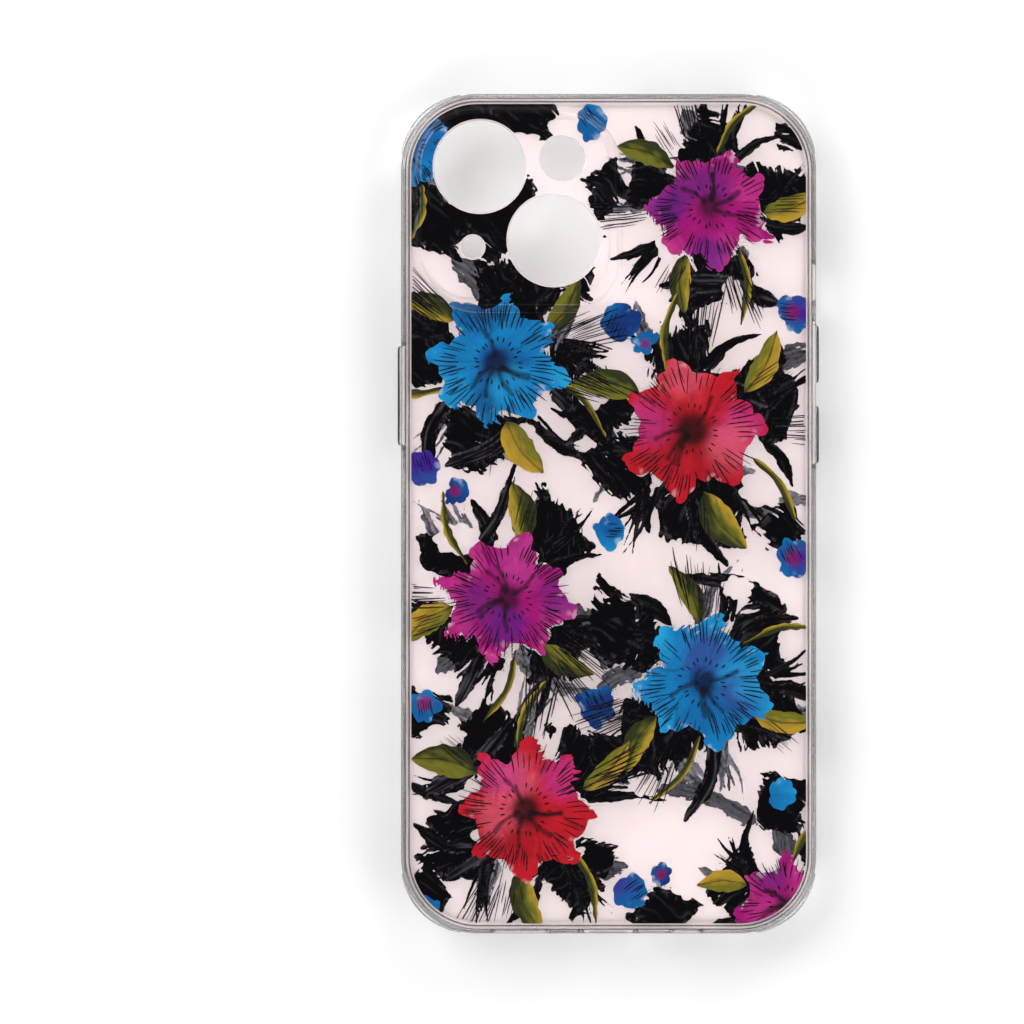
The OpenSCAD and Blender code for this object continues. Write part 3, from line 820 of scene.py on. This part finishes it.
def paint_ground():
    """Dark brush work beside each large flower: blots, dry sweeps and flicked tufts."""
    for n, (x, y, reach, *_) in enumerate(FLOWERS):
        rng = np.random.default_rng(40 + n)
        side = rng.uniform(0, math.tau)
        for k in range(4):
            a = side + k * 1.6 + rng.uniform(-0.3, 0.3)
            bx, by = x + reach * 1.02 * math.cos(a), y + reach * 1.02 * math.sin(a)
            mass(petal_ring(bx, by, reach * rng.uniform(0.55, 0.8), 3, 60 + 7 * n + k, 0.7), 200 + 31 * n + 5 * k,
                 rng.uniform(0.6, 1.3), dry=rng.uniform(0.1, 0.36))
        for k in range(9):
            a = side + k * math.tau / 9 + rng.uniform(-0.2, 0.2)
            layer, width = ("grey", rng.uniform(1.2, 2.6)) if k % 2 else ("black", rng.uniform(0.8, 1.5))
            dark, light = (CHARCOAL, PALE if k % 3 else ASH) if k % 2 else (BLACK, CHARCOAL if k % 3 else ASH)
            stroke(layer, width, 0.5 if k % 2 else 0.25,
                   away_from(x, y, a, reach * 0.9, reach * rng.uniform(1.5, 2.05), rng.uniform(-0.22, 0.22)),
                   500 + 97 * n + 11 * k, dark, light, ("brush", "stem", "leaf")[k % 3])
        for k in range(5):
            a = side + 0.5 + k * math.tau / 5
            tuft("grey" if k == 3 else "black", x + reach * math.cos(a), y + reach * math.sin(a),
                 math.degrees(a) + rng.uniform(-30, 30), reach * rng.uniform(0.7, 1.0), 22, 8, 0.55,
                 3000 + 211 * n + 17 * k, CHARCOAL if k == 3 else BLACK, PALE if k == 3 else CHARCOAL,
                 0.45 if k == 3 else 0.22)


def paint_drifts():
    """Long dry sweeps across the whole back, from side to side, and dark drifts in the gaps."""
    rng = np.random.default_rng(8)
    for k in range(15):
        x, y = (-30, 31)[k % 2] + rng.uniform(-5, 5), 68 - 9.6 * k + rng.uniform(-3, 3)
        a = math.radians((28, 152)[k % 2] + rng.uniform(-18, 18))
        layer = ("black", "grey", "black")[k % 3]
        stroke(layer, rng.uniform(1.0, 2.4), 0.34, away_from(x, y, a, 0, rng.uniform(16, 24), 0.12),
               4000 + 13 * k, CHARCOAL if layer == "grey" else BLACK, ASH, "brush")
    for k, (x, y, reach) in enumerate([
        (-27, 71, 8), (-31, 52, 8), (-15, 70, 8), (-19, 52, 9), (-20, 40, 6), (-7, 45, 7), (0, 58, 6), (-2, 18, 8), (31, -2, 5.5), (1, -20, 8), (-33, -36, 6),
        (2, -44, 7.5), (31, -52, 6), (10, -72, 7), (-33, -68, 6.5), (34, 68, 4.5),
    ]):
        mass(petal_ring(x, y, reach, 4, 330 + k, 0.62), 340 + 9 * k, 1.0, dry=rng.uniform(0.08, 0.3))


def paint_clearings():
    """Round-lobed bites out of the dark inks, so that the clear plate shows through."""
    rng = np.random.default_rng(12)
    for k in range(16):
        x, y = rng.uniform(-31, 31), 66 - 8.8 * k
        clearing(x, y, rng.uniform(1.8, 4.2), rng.uniform(1.5, 3.4), 900 + k)


def paint_leaves():
    """Three broad leaves and two thin blades out of each large flower."""
    for n, (x, y, reach, *_) in enumerate(FLOWERS):
        rng = np.random.default_rng(300 + n)
        start = rng.uniform(0, math.tau)
        for k in range(3):
            a = start + k * 2.1 + rng.uniform(-0.3, 0.3)
            dark, mid, light = [(MOSS, OLIVE, GOLD), (OLIVE, GOLD * 0.8, GOLD), (MOSS, OLIVE, OLIVE)][k]
            leaf(reach * rng.uniform(0.15, 0.22), away_from(x, y, a, reach * 0.85, reach * 1.72, 0.1), 310 + 9 * n + k,
                 dark, mid, light, (1, -1)[k % 2])
        for k in range(2):
            a = start + 1.1 + k * 2.4
            leaf(0.7, away_from(x, y, a, reach * 0.8, reach * 1.9, -0.14), 390 + 9 * n + k, mid=OLIVE, light=GOLD)


def paint_flowers():
    """Each large flower: a wash with soft patches, folds, a ring of stamens and hatched petals."""
    for n, (x, y, reach, layer, tones, patches, petals) in enumerate(FLOWERS):
        rng = np.random.default_rng(600 + n)
        tints = []
        for k, tone in enumerate(patches * 2):
            a, r = rng.uniform(0, math.tau), reach * rng.uniform(0.35, 0.8)
            tints.append((x + r * math.cos(a), y + r * math.sin(a), reach * 0.34, tone, 0.6))
        tints.append((x, y, reach * 0.2, tones[0] * 0.3, 0.9))
        folds = [(0.5, 0.7, away_from(x, y, rng.uniform(0, math.tau), reach * 0.1, reach * 0.5, 0.1))
                 for _ in range(petals - 2)]
        wash(layer, petal_ring(x, y, reach, petals, 610 + n), tones, 620 + 13 * n, (x, y), 0.7, 0.7, tints, folds)
        for k in range(3 * petals):
            a = math.tau * k / (3 * petals) + rng.uniform(-0.08, 0.08)
            r = reach * rng.uniform(0.24, 0.32)
            hairs.append((away_from(x, y, a, r, r + 0.9), 0.11, BLACK))
        for k in range(petals + 3):
            a = math.tau * k / (petals + 3) + rng.uniform(-0.15, 0.15)
            hatching(x + reach * 0.7 * math.cos(a), y + reach * 0.7 * math.sin(a), math.degrees(a), reach * 0.4,
                     reach * 0.34, int(rng.integers(5, 10)), 640 + 29 * n + k, 0.085, lean=9)


def paint_blooms():
    for n, (x, y, reach) in enumerate(BLOOMS):
        tones = [[BLUE, AZURE, CYAN], [VIOLET * 1.2, BLUE, AZURE], [NAVY * 1.3, BLUE, AZURE]][n % 3]
        bloom("blue", x, y, reach, tones, 700 + n, [(x, y, reach * 0.4, MAGENTA * 0.6, 0.8 * (n % 2))])


def paint_leaf_veins():
    for n, (x, y, reach, *_) in enumerate(FLOWERS):
        start = np.random.default_rng(300 + n).uniform(0, math.tau)
        for k in range(3):
            a = start + k * 2.1
            hatching(x + reach * 1.25 * math.cos(a), y + reach * 1.25 * math.sin(a), math.degrees(a), reach * 0.6,
                     reach * 0.24, 7, 800 + 9 * n + k)


def ragged_hairs():
    """Loose pen lines outside the flowers, running outwards."""
    rng = np.random.default_rng(5)
    for x, y, reach, *_ in FLOWERS:
        for k in range(3):
            a = rng.uniform(0, math.tau)
            hatching(x + reach * 1.5 * math.cos(a), y + reach * 1.5 * math.sin(a), math.degrees(a),
                     reach * 0.9, reach * 0.4, 11, int(rng.integers(1, 9999)), 0.1, lean=6)


def part_dark_from_flowers():
    """A thin broken clear line is left between the flowers and the dark brush work."""
    flowers = np.max([ink[n].field for n in ("blue", "magenta", "red")], axis=0)
    gap = cloud(X, Y, 4.5, 61) * 2.6 - 1.7
    ring = np.minimum(flowers + gap, -flowers)
    for name in ("black", "grey"):
        ink[name].field = np.minimum(ink[name].field, -ring)


paint_ground()
paint_drifts()
paint_clearings()
paint_leaves()
paint_blooms()
paint_flowers()
part_dark_from_flowers()
paint_leaf_veins()
ragged_hairs()

# ---------- ink as thin films on the plate ----------


def rounded_distance(x, y, box, radii):
    """How far inside a rounded rectangle a point is."""
    x0, x1, y0, y1 = box
    cx, cy = (x0 + x1) / 2, (y0 + y1) / 2
    r = np.where(y > cy, np.where(x < cx, radii[0], radii[1]), np.where(x > cx, radii[2], radii[3]))
    qx, qy = np.abs(x - cx) - (x1 - x0) / 2 + r, np.abs(y - cy) - (y1 - y0) / 2 + r
    return r - np.hypot(np.maximum(qx, 0), np.maximum(qy, 0)) - np.minimum(np.maximum(qx, qy), 0)


def plate_height(x, y):
    inside = rounded_distance(x, y, PLATEAU, PLATEAU_R)
    return PLATE_TOP + (PLATEAU_TOP - PLATE_TOP) * slope(inside / SLOPE_RUN)


PRINT_R = CAVITY_R - RIM_LAP - 0.25
printable = rounded_distance(X, Y, (-PRINT_W, PRINT_W, -PRINT_L, PRINT_L), (PRINT_R,) * 4)
for hx, hy, hr in HOLES:
    printable = np.minimum(printable, np.hypot(X - hx, Y - hy) - hr - 0.3)


def film_mesh(name, field, lift, colour=None, flow=None):
    """A film over the part of the grid where the field is above 0, with a clean outline."""
    f = np.minimum(field, printable)
    f = np.where(np.abs(f) < 1e-3, 1e-3, np.clip(f, -0.5, 0.5))
    rows, cols = f.shape
    index = np.arange(rows * cols).reshape(rows, cols)
    on = f > 0
    # crossings on the grid's edges: along X, then along Y
    points, colours, flows, ids = [np.column_stack([X.ravel(), Y.ravel()])], [], [], {}
    total = rows * cols
    flat = None if colour is None else colour.reshape(-1, 3)
    flat_flow = None if flow is None else flow.reshape(-1, 2)
    for axis, (a, b) in enumerate([((slice(None), slice(None, -1)), (slice(None), slice(1, None))),
                                   ((slice(None, -1), slice(None)), (slice(1, None), slice(None)))]):
        cross = on[a] != on[b]
        ia, ib = index[a][cross], index[b][cross]
        t = (f[a][cross] / (f[a][cross] - f[b][cross]))[:, None]
        points.append(points[0][ia] * (1 - t) + points[0][ib] * t)
        table = np.full(cross.shape, -1)
        table[cross] = total + np.arange(len(ia))
        ids[axis] = table
        total += len(ia)
        inner = np.where(on[a][cross], ia, ib)
        if flat is not None:
            colours.append(flat[inner])
            flows.append(flat_flow[inner])
    points = np.concatenate(points)
    corner = [index[:-1, :-1], index[:-1, 1:], index[1:, 1:], index[1:, :-1]]
    edge = [ids[0][:-1, :], ids[1][:, 1:], ids[0][1:, :], ids[1][:, :-1]]
    code = sum((on[s].astype(int) << k) for k, s in enumerate(
        [(slice(None, -1), slice(None, -1)), (slice(None, -1), slice(1, None)),
         (slice(1, None), slice(1, None)), (slice(1, None), slice(None, -1))]))
    loops, starts = [], []
    for case in range(1, 16):
        at = code == case
        if not at.any():
            continue
        inside = [bool(case >> k & 1) for k in range(4)]
        shapes = []
        if case in (5, 10):  # two separate corners
            for k in range(4):
                if inside[k]:
                    shapes.append([corner[k], edge[k], edge[k - 1]])
        else:
            shape = []
            for k in range(4):
                if inside[k]:
                    shape.append(corner[k])
                if inside[k] != inside[(k + 1) % 4]:
                    shape.append(edge[k])
            shapes.append(shape)
        for shape in shapes:
            loops.append(np.column_stack([part[at] for part in shape]))
    used = np.unique(np.concatenate([l.ravel() for l in loops]))
    renumber = np.full(total, -1)
    renumber[used] = np.arange(len(used))
    xy = points[used]
    co = np.column_stack([xy, plate_height(xy[:, 0], xy[:, 1]) + lift]) * MM
    corners_of = np.concatenate([renumber[l].ravel() for l in loops])
    sizes = np.concatenate([np.full(len(l), l.shape[1]) for l in loops])
    mesh = bpy.data.meshes.new(name)
    mesh.vertices.add(len(co))
    mesh.vertices.foreach_set("co", co.ravel())
    mesh.loops.add(len(corners_of))
    mesh.loops.foreach_set("vertex_index", corners_of.astype(np.int32))
    mesh.polygons.add(len(sizes))
    mesh.polygons.foreach_set("loop_start", (np.cumsum(sizes) - sizes).astype(np.int32))
    mesh.update(calc_edges=True)
    mesh.polygons.foreach_set("use_smooth", np.ones(len(sizes), bool))
    if flat is not None:
        tone = np.concatenate([flat] + colours)[used]
        layer = mesh.color_attributes.new("paint", "FLOAT_COLOR", "POINT")
        layer.data.foreach_set("color", np.column_stack([tone, np.ones(len(tone))]).ravel())
        way = np.concatenate([flat_flow] + flows)[used]
        brush = mesh.attributes.new("brush", "FLOAT_VECTOR", "POINT")
        brush.data.foreach_set("vector", np.column_stack([way, np.zeros(len(way))]).ravel())
    mesh.validate()
    return mesh


def line_mesh(name, lines, lift):
    """Tapered ribbons along the pen lines, kept to the printable area."""
    points, faces, tones = [], [], []
    for line, half, tone in lines:
        p = np.array(line)
        length = np.hypot(*np.diff(p, axis=0).T).sum()
        if length < 0.4:
            continue
        p = resampled(p, max(5, int(length / 0.4) + 1))
        way = np.gradient(p, axis=0)
        way /= np.hypot(*way.T)[:, None]
        t = np.linspace(0, 1, len(p))
        wide = half * np.clip(np.sin(math.pi * np.clip(t * 0.9 + 0.06, 0, 1)), 0.12, 1) ** 0.6
        across = np.column_stack([-way[:, 1], way[:, 0]]) * wide[:, None]
        left, right = p + across, p - across
        free = np.minimum(inside_print(left), inside_print(right)) > 0.02
        for k in range(len(p) - 1):
            if free[k] and free[k + 1]:
                n = len(points)
                points += [left[k], right[k], right[k + 1], left[k + 1]]
                tones += [tone] * 4
                faces.append((n, n + 1, n + 2, n + 3))
    points = np.array(points)
    height = plate_height(points[:, 0], points[:, 1]) + lift
    mesh = mesh_of(name, np.column_stack([points, height]), faces)
    work = bmesh.new()
    work.from_mesh(mesh)
    bmesh.ops.remove_doubles(work, verts=work.verts, dist=1e-7)
    bmesh.ops.recalc_face_normals(work, faces=work.faces)
    work.to_mesh(mesh)
    work.free()
    shade(mesh, 60)
    return mesh


def inside_print(points):
    x, y = points[:, 0], points[:, 1]
    free = rounded_distance(x, y, (-PRINT_W, PRINT_W, -PRINT_L, PRINT_L), (PRINT_R,) * 4)
    for hx, hy, hr in HOLES:
        free = np.minimum(free, np.hypot(x - hx, y - hy) - hr - 0.3)
    return free


# ---------- materials ----------


class Nodes:
    """Short names for building a material's nodes."""

    def __init__(self, name):
        self.material = bpy.data.materials.new(name)
        self.material.use_nodes = True
        self.tree = self.material.node_tree
        self.shader = self.tree.nodes["Principled BSDF"]
        self.output = self.tree.nodes["Material Output"]

    def add(self, kind, **values):
        node = self.tree.nodes.new(kind)
        for key, value in values.items():
            setattr(node, key, value)
        return node

    def link(self, source, target):
        self.tree.links.new(source, target)

    def noise(self, where, scale, detail=3.0, rough=0.5):
        node = self.add("ShaderNodeTexNoise")
        node.inputs["Scale"].default_value = scale
        node.inputs["Detail"].default_value = detail
        node.inputs["Roughness"].default_value = rough
        self.link(where, node.inputs["Vector"])
        return node.outputs["Fac"]

    def span(self, source, low, high, out_low, out_high):
        node = self.add("ShaderNodeMapRange")
        for key, value in zip(("From Min", "From Max", "To Min", "To Max"), (low, high, out_low, out_high)):
            node.inputs[key].default_value = value
        self.link(source, node.inputs["Value"])
        return node.outputs["Result"]

    def stretch(self, source, scale):
        node = self.add("ShaderNodeVectorMath", operation="MULTIPLY")
        node.inputs[1].default_value = scale
        self.link(source, node.inputs[0])
        return node.outputs["Vector"]

    def mix(self, fac, a, b, how="MIX"):
        node = self.add("ShaderNodeMix", data_type="RGBA", blend_type=how)
        for socket, value in ((node.inputs[0], fac), (node.inputs[6], a), (node.inputs[7], b)):
            if isinstance(value, bpy.types.NodeSocket):
                self.link(value, socket)
            elif isinstance(value, (int, float)):
                socket.default_value = value
            else:
                socket.default_value = (*value, 1)
        return node.outputs[2]

    def bump(self, height, strength, distance):
        node = self.add("ShaderNodeBump")
        node.inputs["Strength"].default_value = strength
        node.inputs["Distance"].default_value = distance
        self.link(height, node.inputs["Height"])
        self.link(node.outputs["Normal"], self.shader.inputs["Normal"])

    def set(self, **values):
        for key, value in values.items():
            self.shader.inputs[key.replace("_", " ")].default_value = value


def clear_plastic(name, tint, transmission, rough, wave, wave_scale, ior=1.5, lets_light=0.92,
                  rim=(0.55, 0.95), grazing_shade=(0.3, 0.29, 0.28)):
    """Clear moulded plastic: faint flow marks, a slightly uneven gloss, painted shade that darkens the colour towards
    grazing edges, and lamps reach what lies behind it."""
    n = Nodes(name)
    place = n.add("ShaderNodeTexCoord").outputs["Object"]
    flow = n.noise(place, wave_scale, 2.0)
    speck = n.noise(place, 2600.0, 2.0)
    n.set(IOR=ior, Transmission_Weight=transmission)
    body = n.mix(n.span(flow, 0.3, 0.7, 0, 1), tint, tuple(c * 0.975 for c in tint))
    # Painted shade: towards grazing edges the base colour is mixed to a dark painted grey.
    edge_on = n.add("ShaderNodeLayerWeight")
    edge_on.inputs["Blend"].default_value = 0.5
    n.link(n.mix(n.span(edge_on.outputs["Facing"], *rim, 0.0, 0.9), body, grazing_shade),
           n.shader.inputs["Base Color"])
    n.link(n.span(speck, 0.35, 0.75, rough * 0.6, rough * 1.5), n.shader.inputs["Roughness"])
    n.bump(flow, wave, 0.0003)
    rays = n.add("ShaderNodeLightPath")
    share = n.add("ShaderNodeMath", operation="MULTIPLY")
    share.inputs[1].default_value = lets_light
    n.link(rays.outputs["Is Shadow Ray"], share.inputs[0])
    clear = n.add("ShaderNodeBsdfTransparent")
    both = n.add("ShaderNodeMixShader")
    n.link(share.outputs[0], both.inputs[0])
    n.link(n.shader.outputs[0], both.inputs[1])
    n.link(clear.outputs[0], both.inputs[2])
    n.link(both.outputs[0], n.output.inputs["Surface"])
    return n.material


def painted_refraction_lines(material, start, width, tones, level=(0.25, 0.7)):
    """Painted refraction lines along the border: bands of painted shade that stand in for the wall's inner corners
    showing through clear plastic.
    The tones run inwards over a width, from a start in millimetres out of the body's side, and
    they show where the surface's upward lean passes the two levels."""
    outer = BODY_R
    n = Nodes.__new__(Nodes)
    n.material, n.tree = material, material.node_tree
    n.shader = n.tree.nodes["Principled BSDF"]
    place = n.add("ShaderNodeTexCoord").outputs["Object"]
    wander = n.noise(place, 130.0, 2.0)
    folded = n.add("ShaderNodeVectorMath", operation="ABSOLUTE")
    n.link(place, folded.inputs[0])
    past = n.add("ShaderNodeVectorMath", operation="SUBTRACT")
    past.inputs[1].default_value = ((BODY_W / 2 - outer) * MM, (BODY_L / 2 - outer) * MM, 1.0)
    n.link(folded.outputs[0], past.inputs[0])
    beyond = n.add("ShaderNodeVectorMath", operation="MAXIMUM")
    n.link(past.outputs[0], beyond.inputs[0])
    reach = n.add("ShaderNodeVectorMath", operation="LENGTH")
    n.link(beyond.outputs[0], reach.inputs[0])
    depth = n.span(reach.outputs["Value"], (outer + start) * MM, (outer + start - width) * MM, 0.0, 1.0)
    shaken = n.add("ShaderNodeMath", operation="MULTIPLY_ADD")
    shaken.inputs[1].default_value, shaken.inputs[2].default_value = 0.14 / width, -0.07 / width
    n.link(wander, shaken.inputs[0])
    total = n.add("ShaderNodeMath", operation="ADD")
    n.link(depth, total.inputs[0])
    n.link(shaken.outputs[0], total.inputs[1])
    bands = n.add("ShaderNodeValToRGB")
    stops = bands.color_ramp.elements
    stops[0].position, stops[0].color = 0.0, (tones[0][1],) * 3 + (1,)
    stops[1].position, stops[1].color = 1.0, (1, 1, 1, 1)
    for where, tone in tones[1:]:
        stops.new(where).color = (tone, tone * 0.985, tone * 0.97, 1)
    n.link(total.outputs[0], bands.inputs[0])
    facing = n.add("ShaderNodeNewGeometry").outputs["Normal"]
    upward = n.add("ShaderNodeSeparateXYZ")
    n.link(facing, upward.inputs[0])
    lean = n.add("ShaderNodeMath", operation="ABSOLUTE")
    n.link(upward.outputs["Z"], lean.inputs[0])
    # Painted shade: the dark refraction bands are multiplied into the base colour on the sloped faces.
    old = n.shader.inputs["Base Color"].links[0].from_socket
    n.link(n.mix(n.span(lean.outputs[0], *level, 0.0, 1.0), old,
                 n.mix(1.0, old, bands.outputs["Color"], "MULTIPLY")), n.shader.inputs["Base Color"])


def ink_material(name, streak, fine, rough, gloss, seed):
    """Printed ink: its painted colour, hair-fine brush streaks along the mark, and relief."""
    n = Nodes(name)
    paint = n.add("ShaderNodeAttribute", attribute_name="paint").outputs["Color"]
    brush = n.add("ShaderNodeAttribute", attribute_name="brush").outputs["Vector"]
    place = n.add("ShaderNodeTexCoord").outputs["Object"]
    hair = n.noise(n.stretch(brush, (4.2, 0.55, 1.0)), 1.0, 4.0, 0.62)
    soft = n.noise(n.stretch(brush, (1.1, 0.22, 1.0)), 1.0 + seed * 0.01, 2.0)
    grain = n.noise(place, 5200.0, 2.0)
    dark = n.mix(0.72, paint, (0.0, 0.0, 0.0))
    light = n.mix(1.0, paint, (1.9, 1.9, 1.9), "MULTIPLY")
    colour = n.mix(n.span(hair, 0.56, 0.74, 0.0, streak), paint, dark)
    colour = n.mix(n.span(hair, 0.44, 0.24, 0.0, fine), colour, light)
    colour = n.mix(n.span(soft, 0.35, 0.7, 0.0, streak * 0.5), colour, dark)
    n.link(colour, n.shader.inputs["Base Color"])
    n.link(n.span(grain, 0.3, 0.7, rough - 0.06, rough + 0.08), n.shader.inputs["Roughness"])
    n.set(Coat_Weight=gloss, Coat_Roughness=0.12, Specular_IOR_Level=0.04 + 0.9 * gloss)
    n.bump(hair, 0.12, 0.00012)
    return n.material


def white_material():
    """The white pass: matt, a little uneven."""
    n = Nodes("ink_white_base")
    place = n.add("ShaderNodeTexCoord").outputs["Object"]
    cloud = n.noise(place, 420.0, 4.0)
    n.link(n.mix(n.span(cloud, 0.3, 0.7, 0, 1), (0.86, 0.86, 0.85), (0.78, 0.78, 0.78)),
           n.shader.inputs["Base Color"])
    n.link(n.span(n.noise(place, 4800.0), 0.3, 0.7, 0.42, 0.6), n.shader.inputs["Roughness"])
    n.bump(n.noise(place, 3000.0), 0.1, 0.0001)
    return n.material


def line_material():
    n = Nodes("ink_line_work")
    place = n.add("ShaderNodeTexCoord").outputs["Object"]
    skip = n.noise(place, 1500.0, 3.0)
    n.link(n.mix(n.span(skip, 0.45, 0.75, 0, 1), (0.004, 0.003, 0.005), (0.035, 0.03, 0.04)),
           n.shader.inputs["Base Color"])
    n.link(n.span(n.noise(place, 5000.0), 0.3, 0.7, 0.28, 0.45), n.shader.inputs["Roughness"])
    n.set(Coat_Weight=0.04, Coat_Roughness=0.12, Specular_IOR_Level=0.08)
    n.bump(skip, 0.1, 0.0001)
    return n.material


# ---------- build the pieces ----------

plate_look = clear_plastic("plate_clear", (1.0, 0.895, 0.9), 0.68, 0.035, 0.06, 90.0, 1.52, 1.0)
bumper_look = clear_plastic("bumper_clear", (0.96, 0.965, 0.965), 0.94, 0.06, 0.12, 140.0, 1.49, 0.6)
# Painted refraction lines: dark bands of painted shade on the bumper's rounded rim.
painted_refraction_lines(bumper_look, 0.0, 4.0, (
    (0.0, 0.24), (0.055, 0.34), (0.085, 1.0), (0.165, 1.0), (0.185, 0.26), (0.24, 0.3), (0.265, 1.0),
    (0.335, 1.0), (0.355, 0.3), (0.44, 0.4), (0.47, 0.9)), (0.05, 0.35))
cushion_look = clear_plastic("cushion_clear", (0.97, 0.975, 0.98), 0.94, 0.05, 0.1, 160.0, 1.49)
# The keys get strong painted shade, near black, towards their edges.
key_look = clear_plastic("key_clear", (0.8, 0.8, 0.8), 0.85, 0.14, 0.1, 200.0, 1.49,
                         rim=(0.3, 0.7), grazing_shade=(0.04, 0.04, 0.04))
# Painted refraction lines: dark bands of painted shade round the key caps' edges.
painted_refraction_lines(key_look, KEY_TOP - WALL, 1.0, (
    (0.0, 0.02), (0.4, 0.03), (0.48, 1.0), (0.74, 1.0), (0.8, 0.35), (0.95, 0.5)), (0.04, 0.22))
membrane_look = clear_plastic("membrane_clear", (0.95, 0.955, 0.96), 0.9, 0.1, 0.1, 200.0, 1.49)


def finish_piece(piece, look, body, slot, *nodes):
    piece.data.materials.clear()
    piece.data.materials.append(look)
    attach(piece, body)
    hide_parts(*nodes)


finish_piece(make_bumper(), bumper_look, "case", "bumper_clear", "bumper_frame")
finish_piece(make_plate(), plate_look, "case", "plate_clear", "back_plate")
for end, sy in (("top", 1), ("bottom", -1)):
    for side, sx in (("left", -1), ("right", 1)):
        finish_piece(make_cushion(f"cushion_{end}_{side}", sx, sy), cushion_look, "case",
                     "cushion_clear", f"corner_cushion_{end}_{side}")
finish_piece(make_key("power_key_cap", 21.2, 17.9, -1), key_look, "power_button", "key_clear",
             "power_key")
finish_piece(make_key("volume_up_key_cap", 28.7, 10.4, 1), key_look, "volume_up_button",
             "key_clear", "volume_up_key")
finish_piece(make_key("volume_down_key_cap", 14.2, 10.4, 1), key_look, "volume_down_button",
             "key_clear", "volume_down_key")
finish_piece(make_membrane("power_key_skin", 21.2, 19.9, -1, [(21.2, 17.9)]), membrane_look,
             "case", "membrane_clear", "power_key_membrane")
finish_piece(make_membrane("volume_key_skin", 21.45, 26.9, 1, [(28.7, 10.4), (14.2, 10.4)]),
             membrane_look, "case", "membrane_clear", "volume_key_membrane")

INK_LIFT, INK_RISE = 0.03, 0.012
white = np.max([ink[name].field for name in ("olive", "blue", "magenta", "red")], axis=0) - 0.3
finish_piece(new_object("ink_film_white", film_mesh("ink_film_white", white, INK_LIFT)),
             white_material(), "case", "ink_white_base", "print_white_base")
looks = {
    "grey": (0.55, 0.35, 0.42, 0.15), "black": (0.2, 0.3, 0.4, 0.03), "olive": (0.6, 0.3, 0.32, 0.5),
    "blue": (0.45, 0.3, 0.3, 0.5), "magenta": (0.45, 0.4, 0.3, 0.5), "red": (0.55, 0.2, 0.3, 0.5),
}
for n, name in enumerate(LAYERS):
    film = film_mesh(f"ink_film_{name}", ink[name].field, INK_LIFT + INK_RISE * (n + 1),
                     ink[name].colour, ink[name].flow)
    finish_piece(new_object(f"ink_film_{name}", film), ink_material(f"ink_{name}", *looks[name], n),
                 "case", f"ink_{name}", f"print_{name}")
lines = line_mesh("ink_film_line_work", hairs, INK_LIFT + INK_RISE * 9 + 0.03)
finish_piece(new_object("ink_film_line_work", lines), line_material(), "case", "ink_line_work",
             "print_line_work")

# ---------- floor, lights and camera ----------


def make_floor():
    mesh = bpy.data.meshes.new("floor")
    work = bmesh.new()
    bmesh.ops.create_grid(work, x_segments=8, y_segments=8, size=1.5)
    work.to_mesh(mesh)
    work.free()
    floor = new_object("floor", mesh)
    n = Nodes("floor")
    place = n.add("ShaderNodeTexCoord").outputs["Object"]
    n.link(n.mix(n.noise(place, 6.0), (0.92, 0.92, 0.92), (0.94, 0.94, 0.94)),
           n.shader.inputs["Base Color"])
    n.set(Roughness=0.7, Specular_IOR_Level=0.2)
    mesh.materials.append(n.material)


def area_light(name, place, target, size, power, shape="RECTANGLE", size_y=None):
    light = bpy.data.lights.new(name, "AREA")
    light.shape, light.size, light.size_y, light.energy = shape, size, size_y or size, power
    lamp = bpy.data.objects.new(name, light)
    lamp.location = place
    lamp.rotation_euler = (Vector(target) - Vector(place)).to_track_quat("-Z", "Y").to_euler()
    bpy.context.scene.collection.objects.link(lamp)


make_floor()
area_light("key_light", (-0.6, 0.5, 0.75), (0, 0, 0), 0.7, 6.0)
area_light("fill_light", (0.75, -0.3, 0.7), (0, 0, 0), 0.8, 4.8)
area_light("back_light", (0.35, 0.9, 0.55), (0, 0, 0.01), 0.6, 3.6)
area_light("front_light", (-0.35, -0.9, 0.65), (0, 0, 0.01), 0.7, 4.4)

world = bpy.data.worlds.new("studio")
bpy.context.scene.world = world
world.use_nodes = True
sky = world.node_tree
heading = sky.nodes.new("ShaderNodeTexCoord")
height = sky.nodes.new("ShaderNodeSeparateXYZ")
shades = sky.nodes.new("ShaderNodeValToRGB")
sky.links.new(heading.outputs["Generated"], height.inputs[0])
sky.links.new(height.outputs["Z"], shades.inputs[0])
sky.links.new(shades.outputs["Color"], sky.nodes["Background"].inputs["Color"])
bands = shades.color_ramp.elements
bands[0].position, bands[0].color = 0.0, (0.05, 0.05, 0.055, 1)
bands[1].position, bands[1].color = 1.0, (0.03, 0.03, 0.03, 1)
for where, tone in ((0.2, 0.1), (0.4, 0.9), (0.78, 0.9), (0.93, 0.04)):
    bands.new(where).color = (tone, tone, tone, 1)
sky.nodes["Background"].inputs["Strength"].default_value = 0.5

bpy.context.scene.view_settings.view_transform = "Standard"
bpy.context.scene.view_settings.look = "None"

SPAN, LENS, SENSOR = 0.1832, 200.0, 36.0
camera = bpy.data.cameras.new("camera")
camera.lens, camera.sensor_width, camera.clip_end = LENS, SENSOR, 20.0
camera.dof.use_dof = False
viewer = bpy.data.objects.new("camera", camera)
viewer.location = (-0.0173, 0.0003, PLATE_TOP * MM + SPAN * LENS / SENSOR)
bpy.context.scene.collection.objects.link(viewer)
bpy.context.scene.camera = viewer
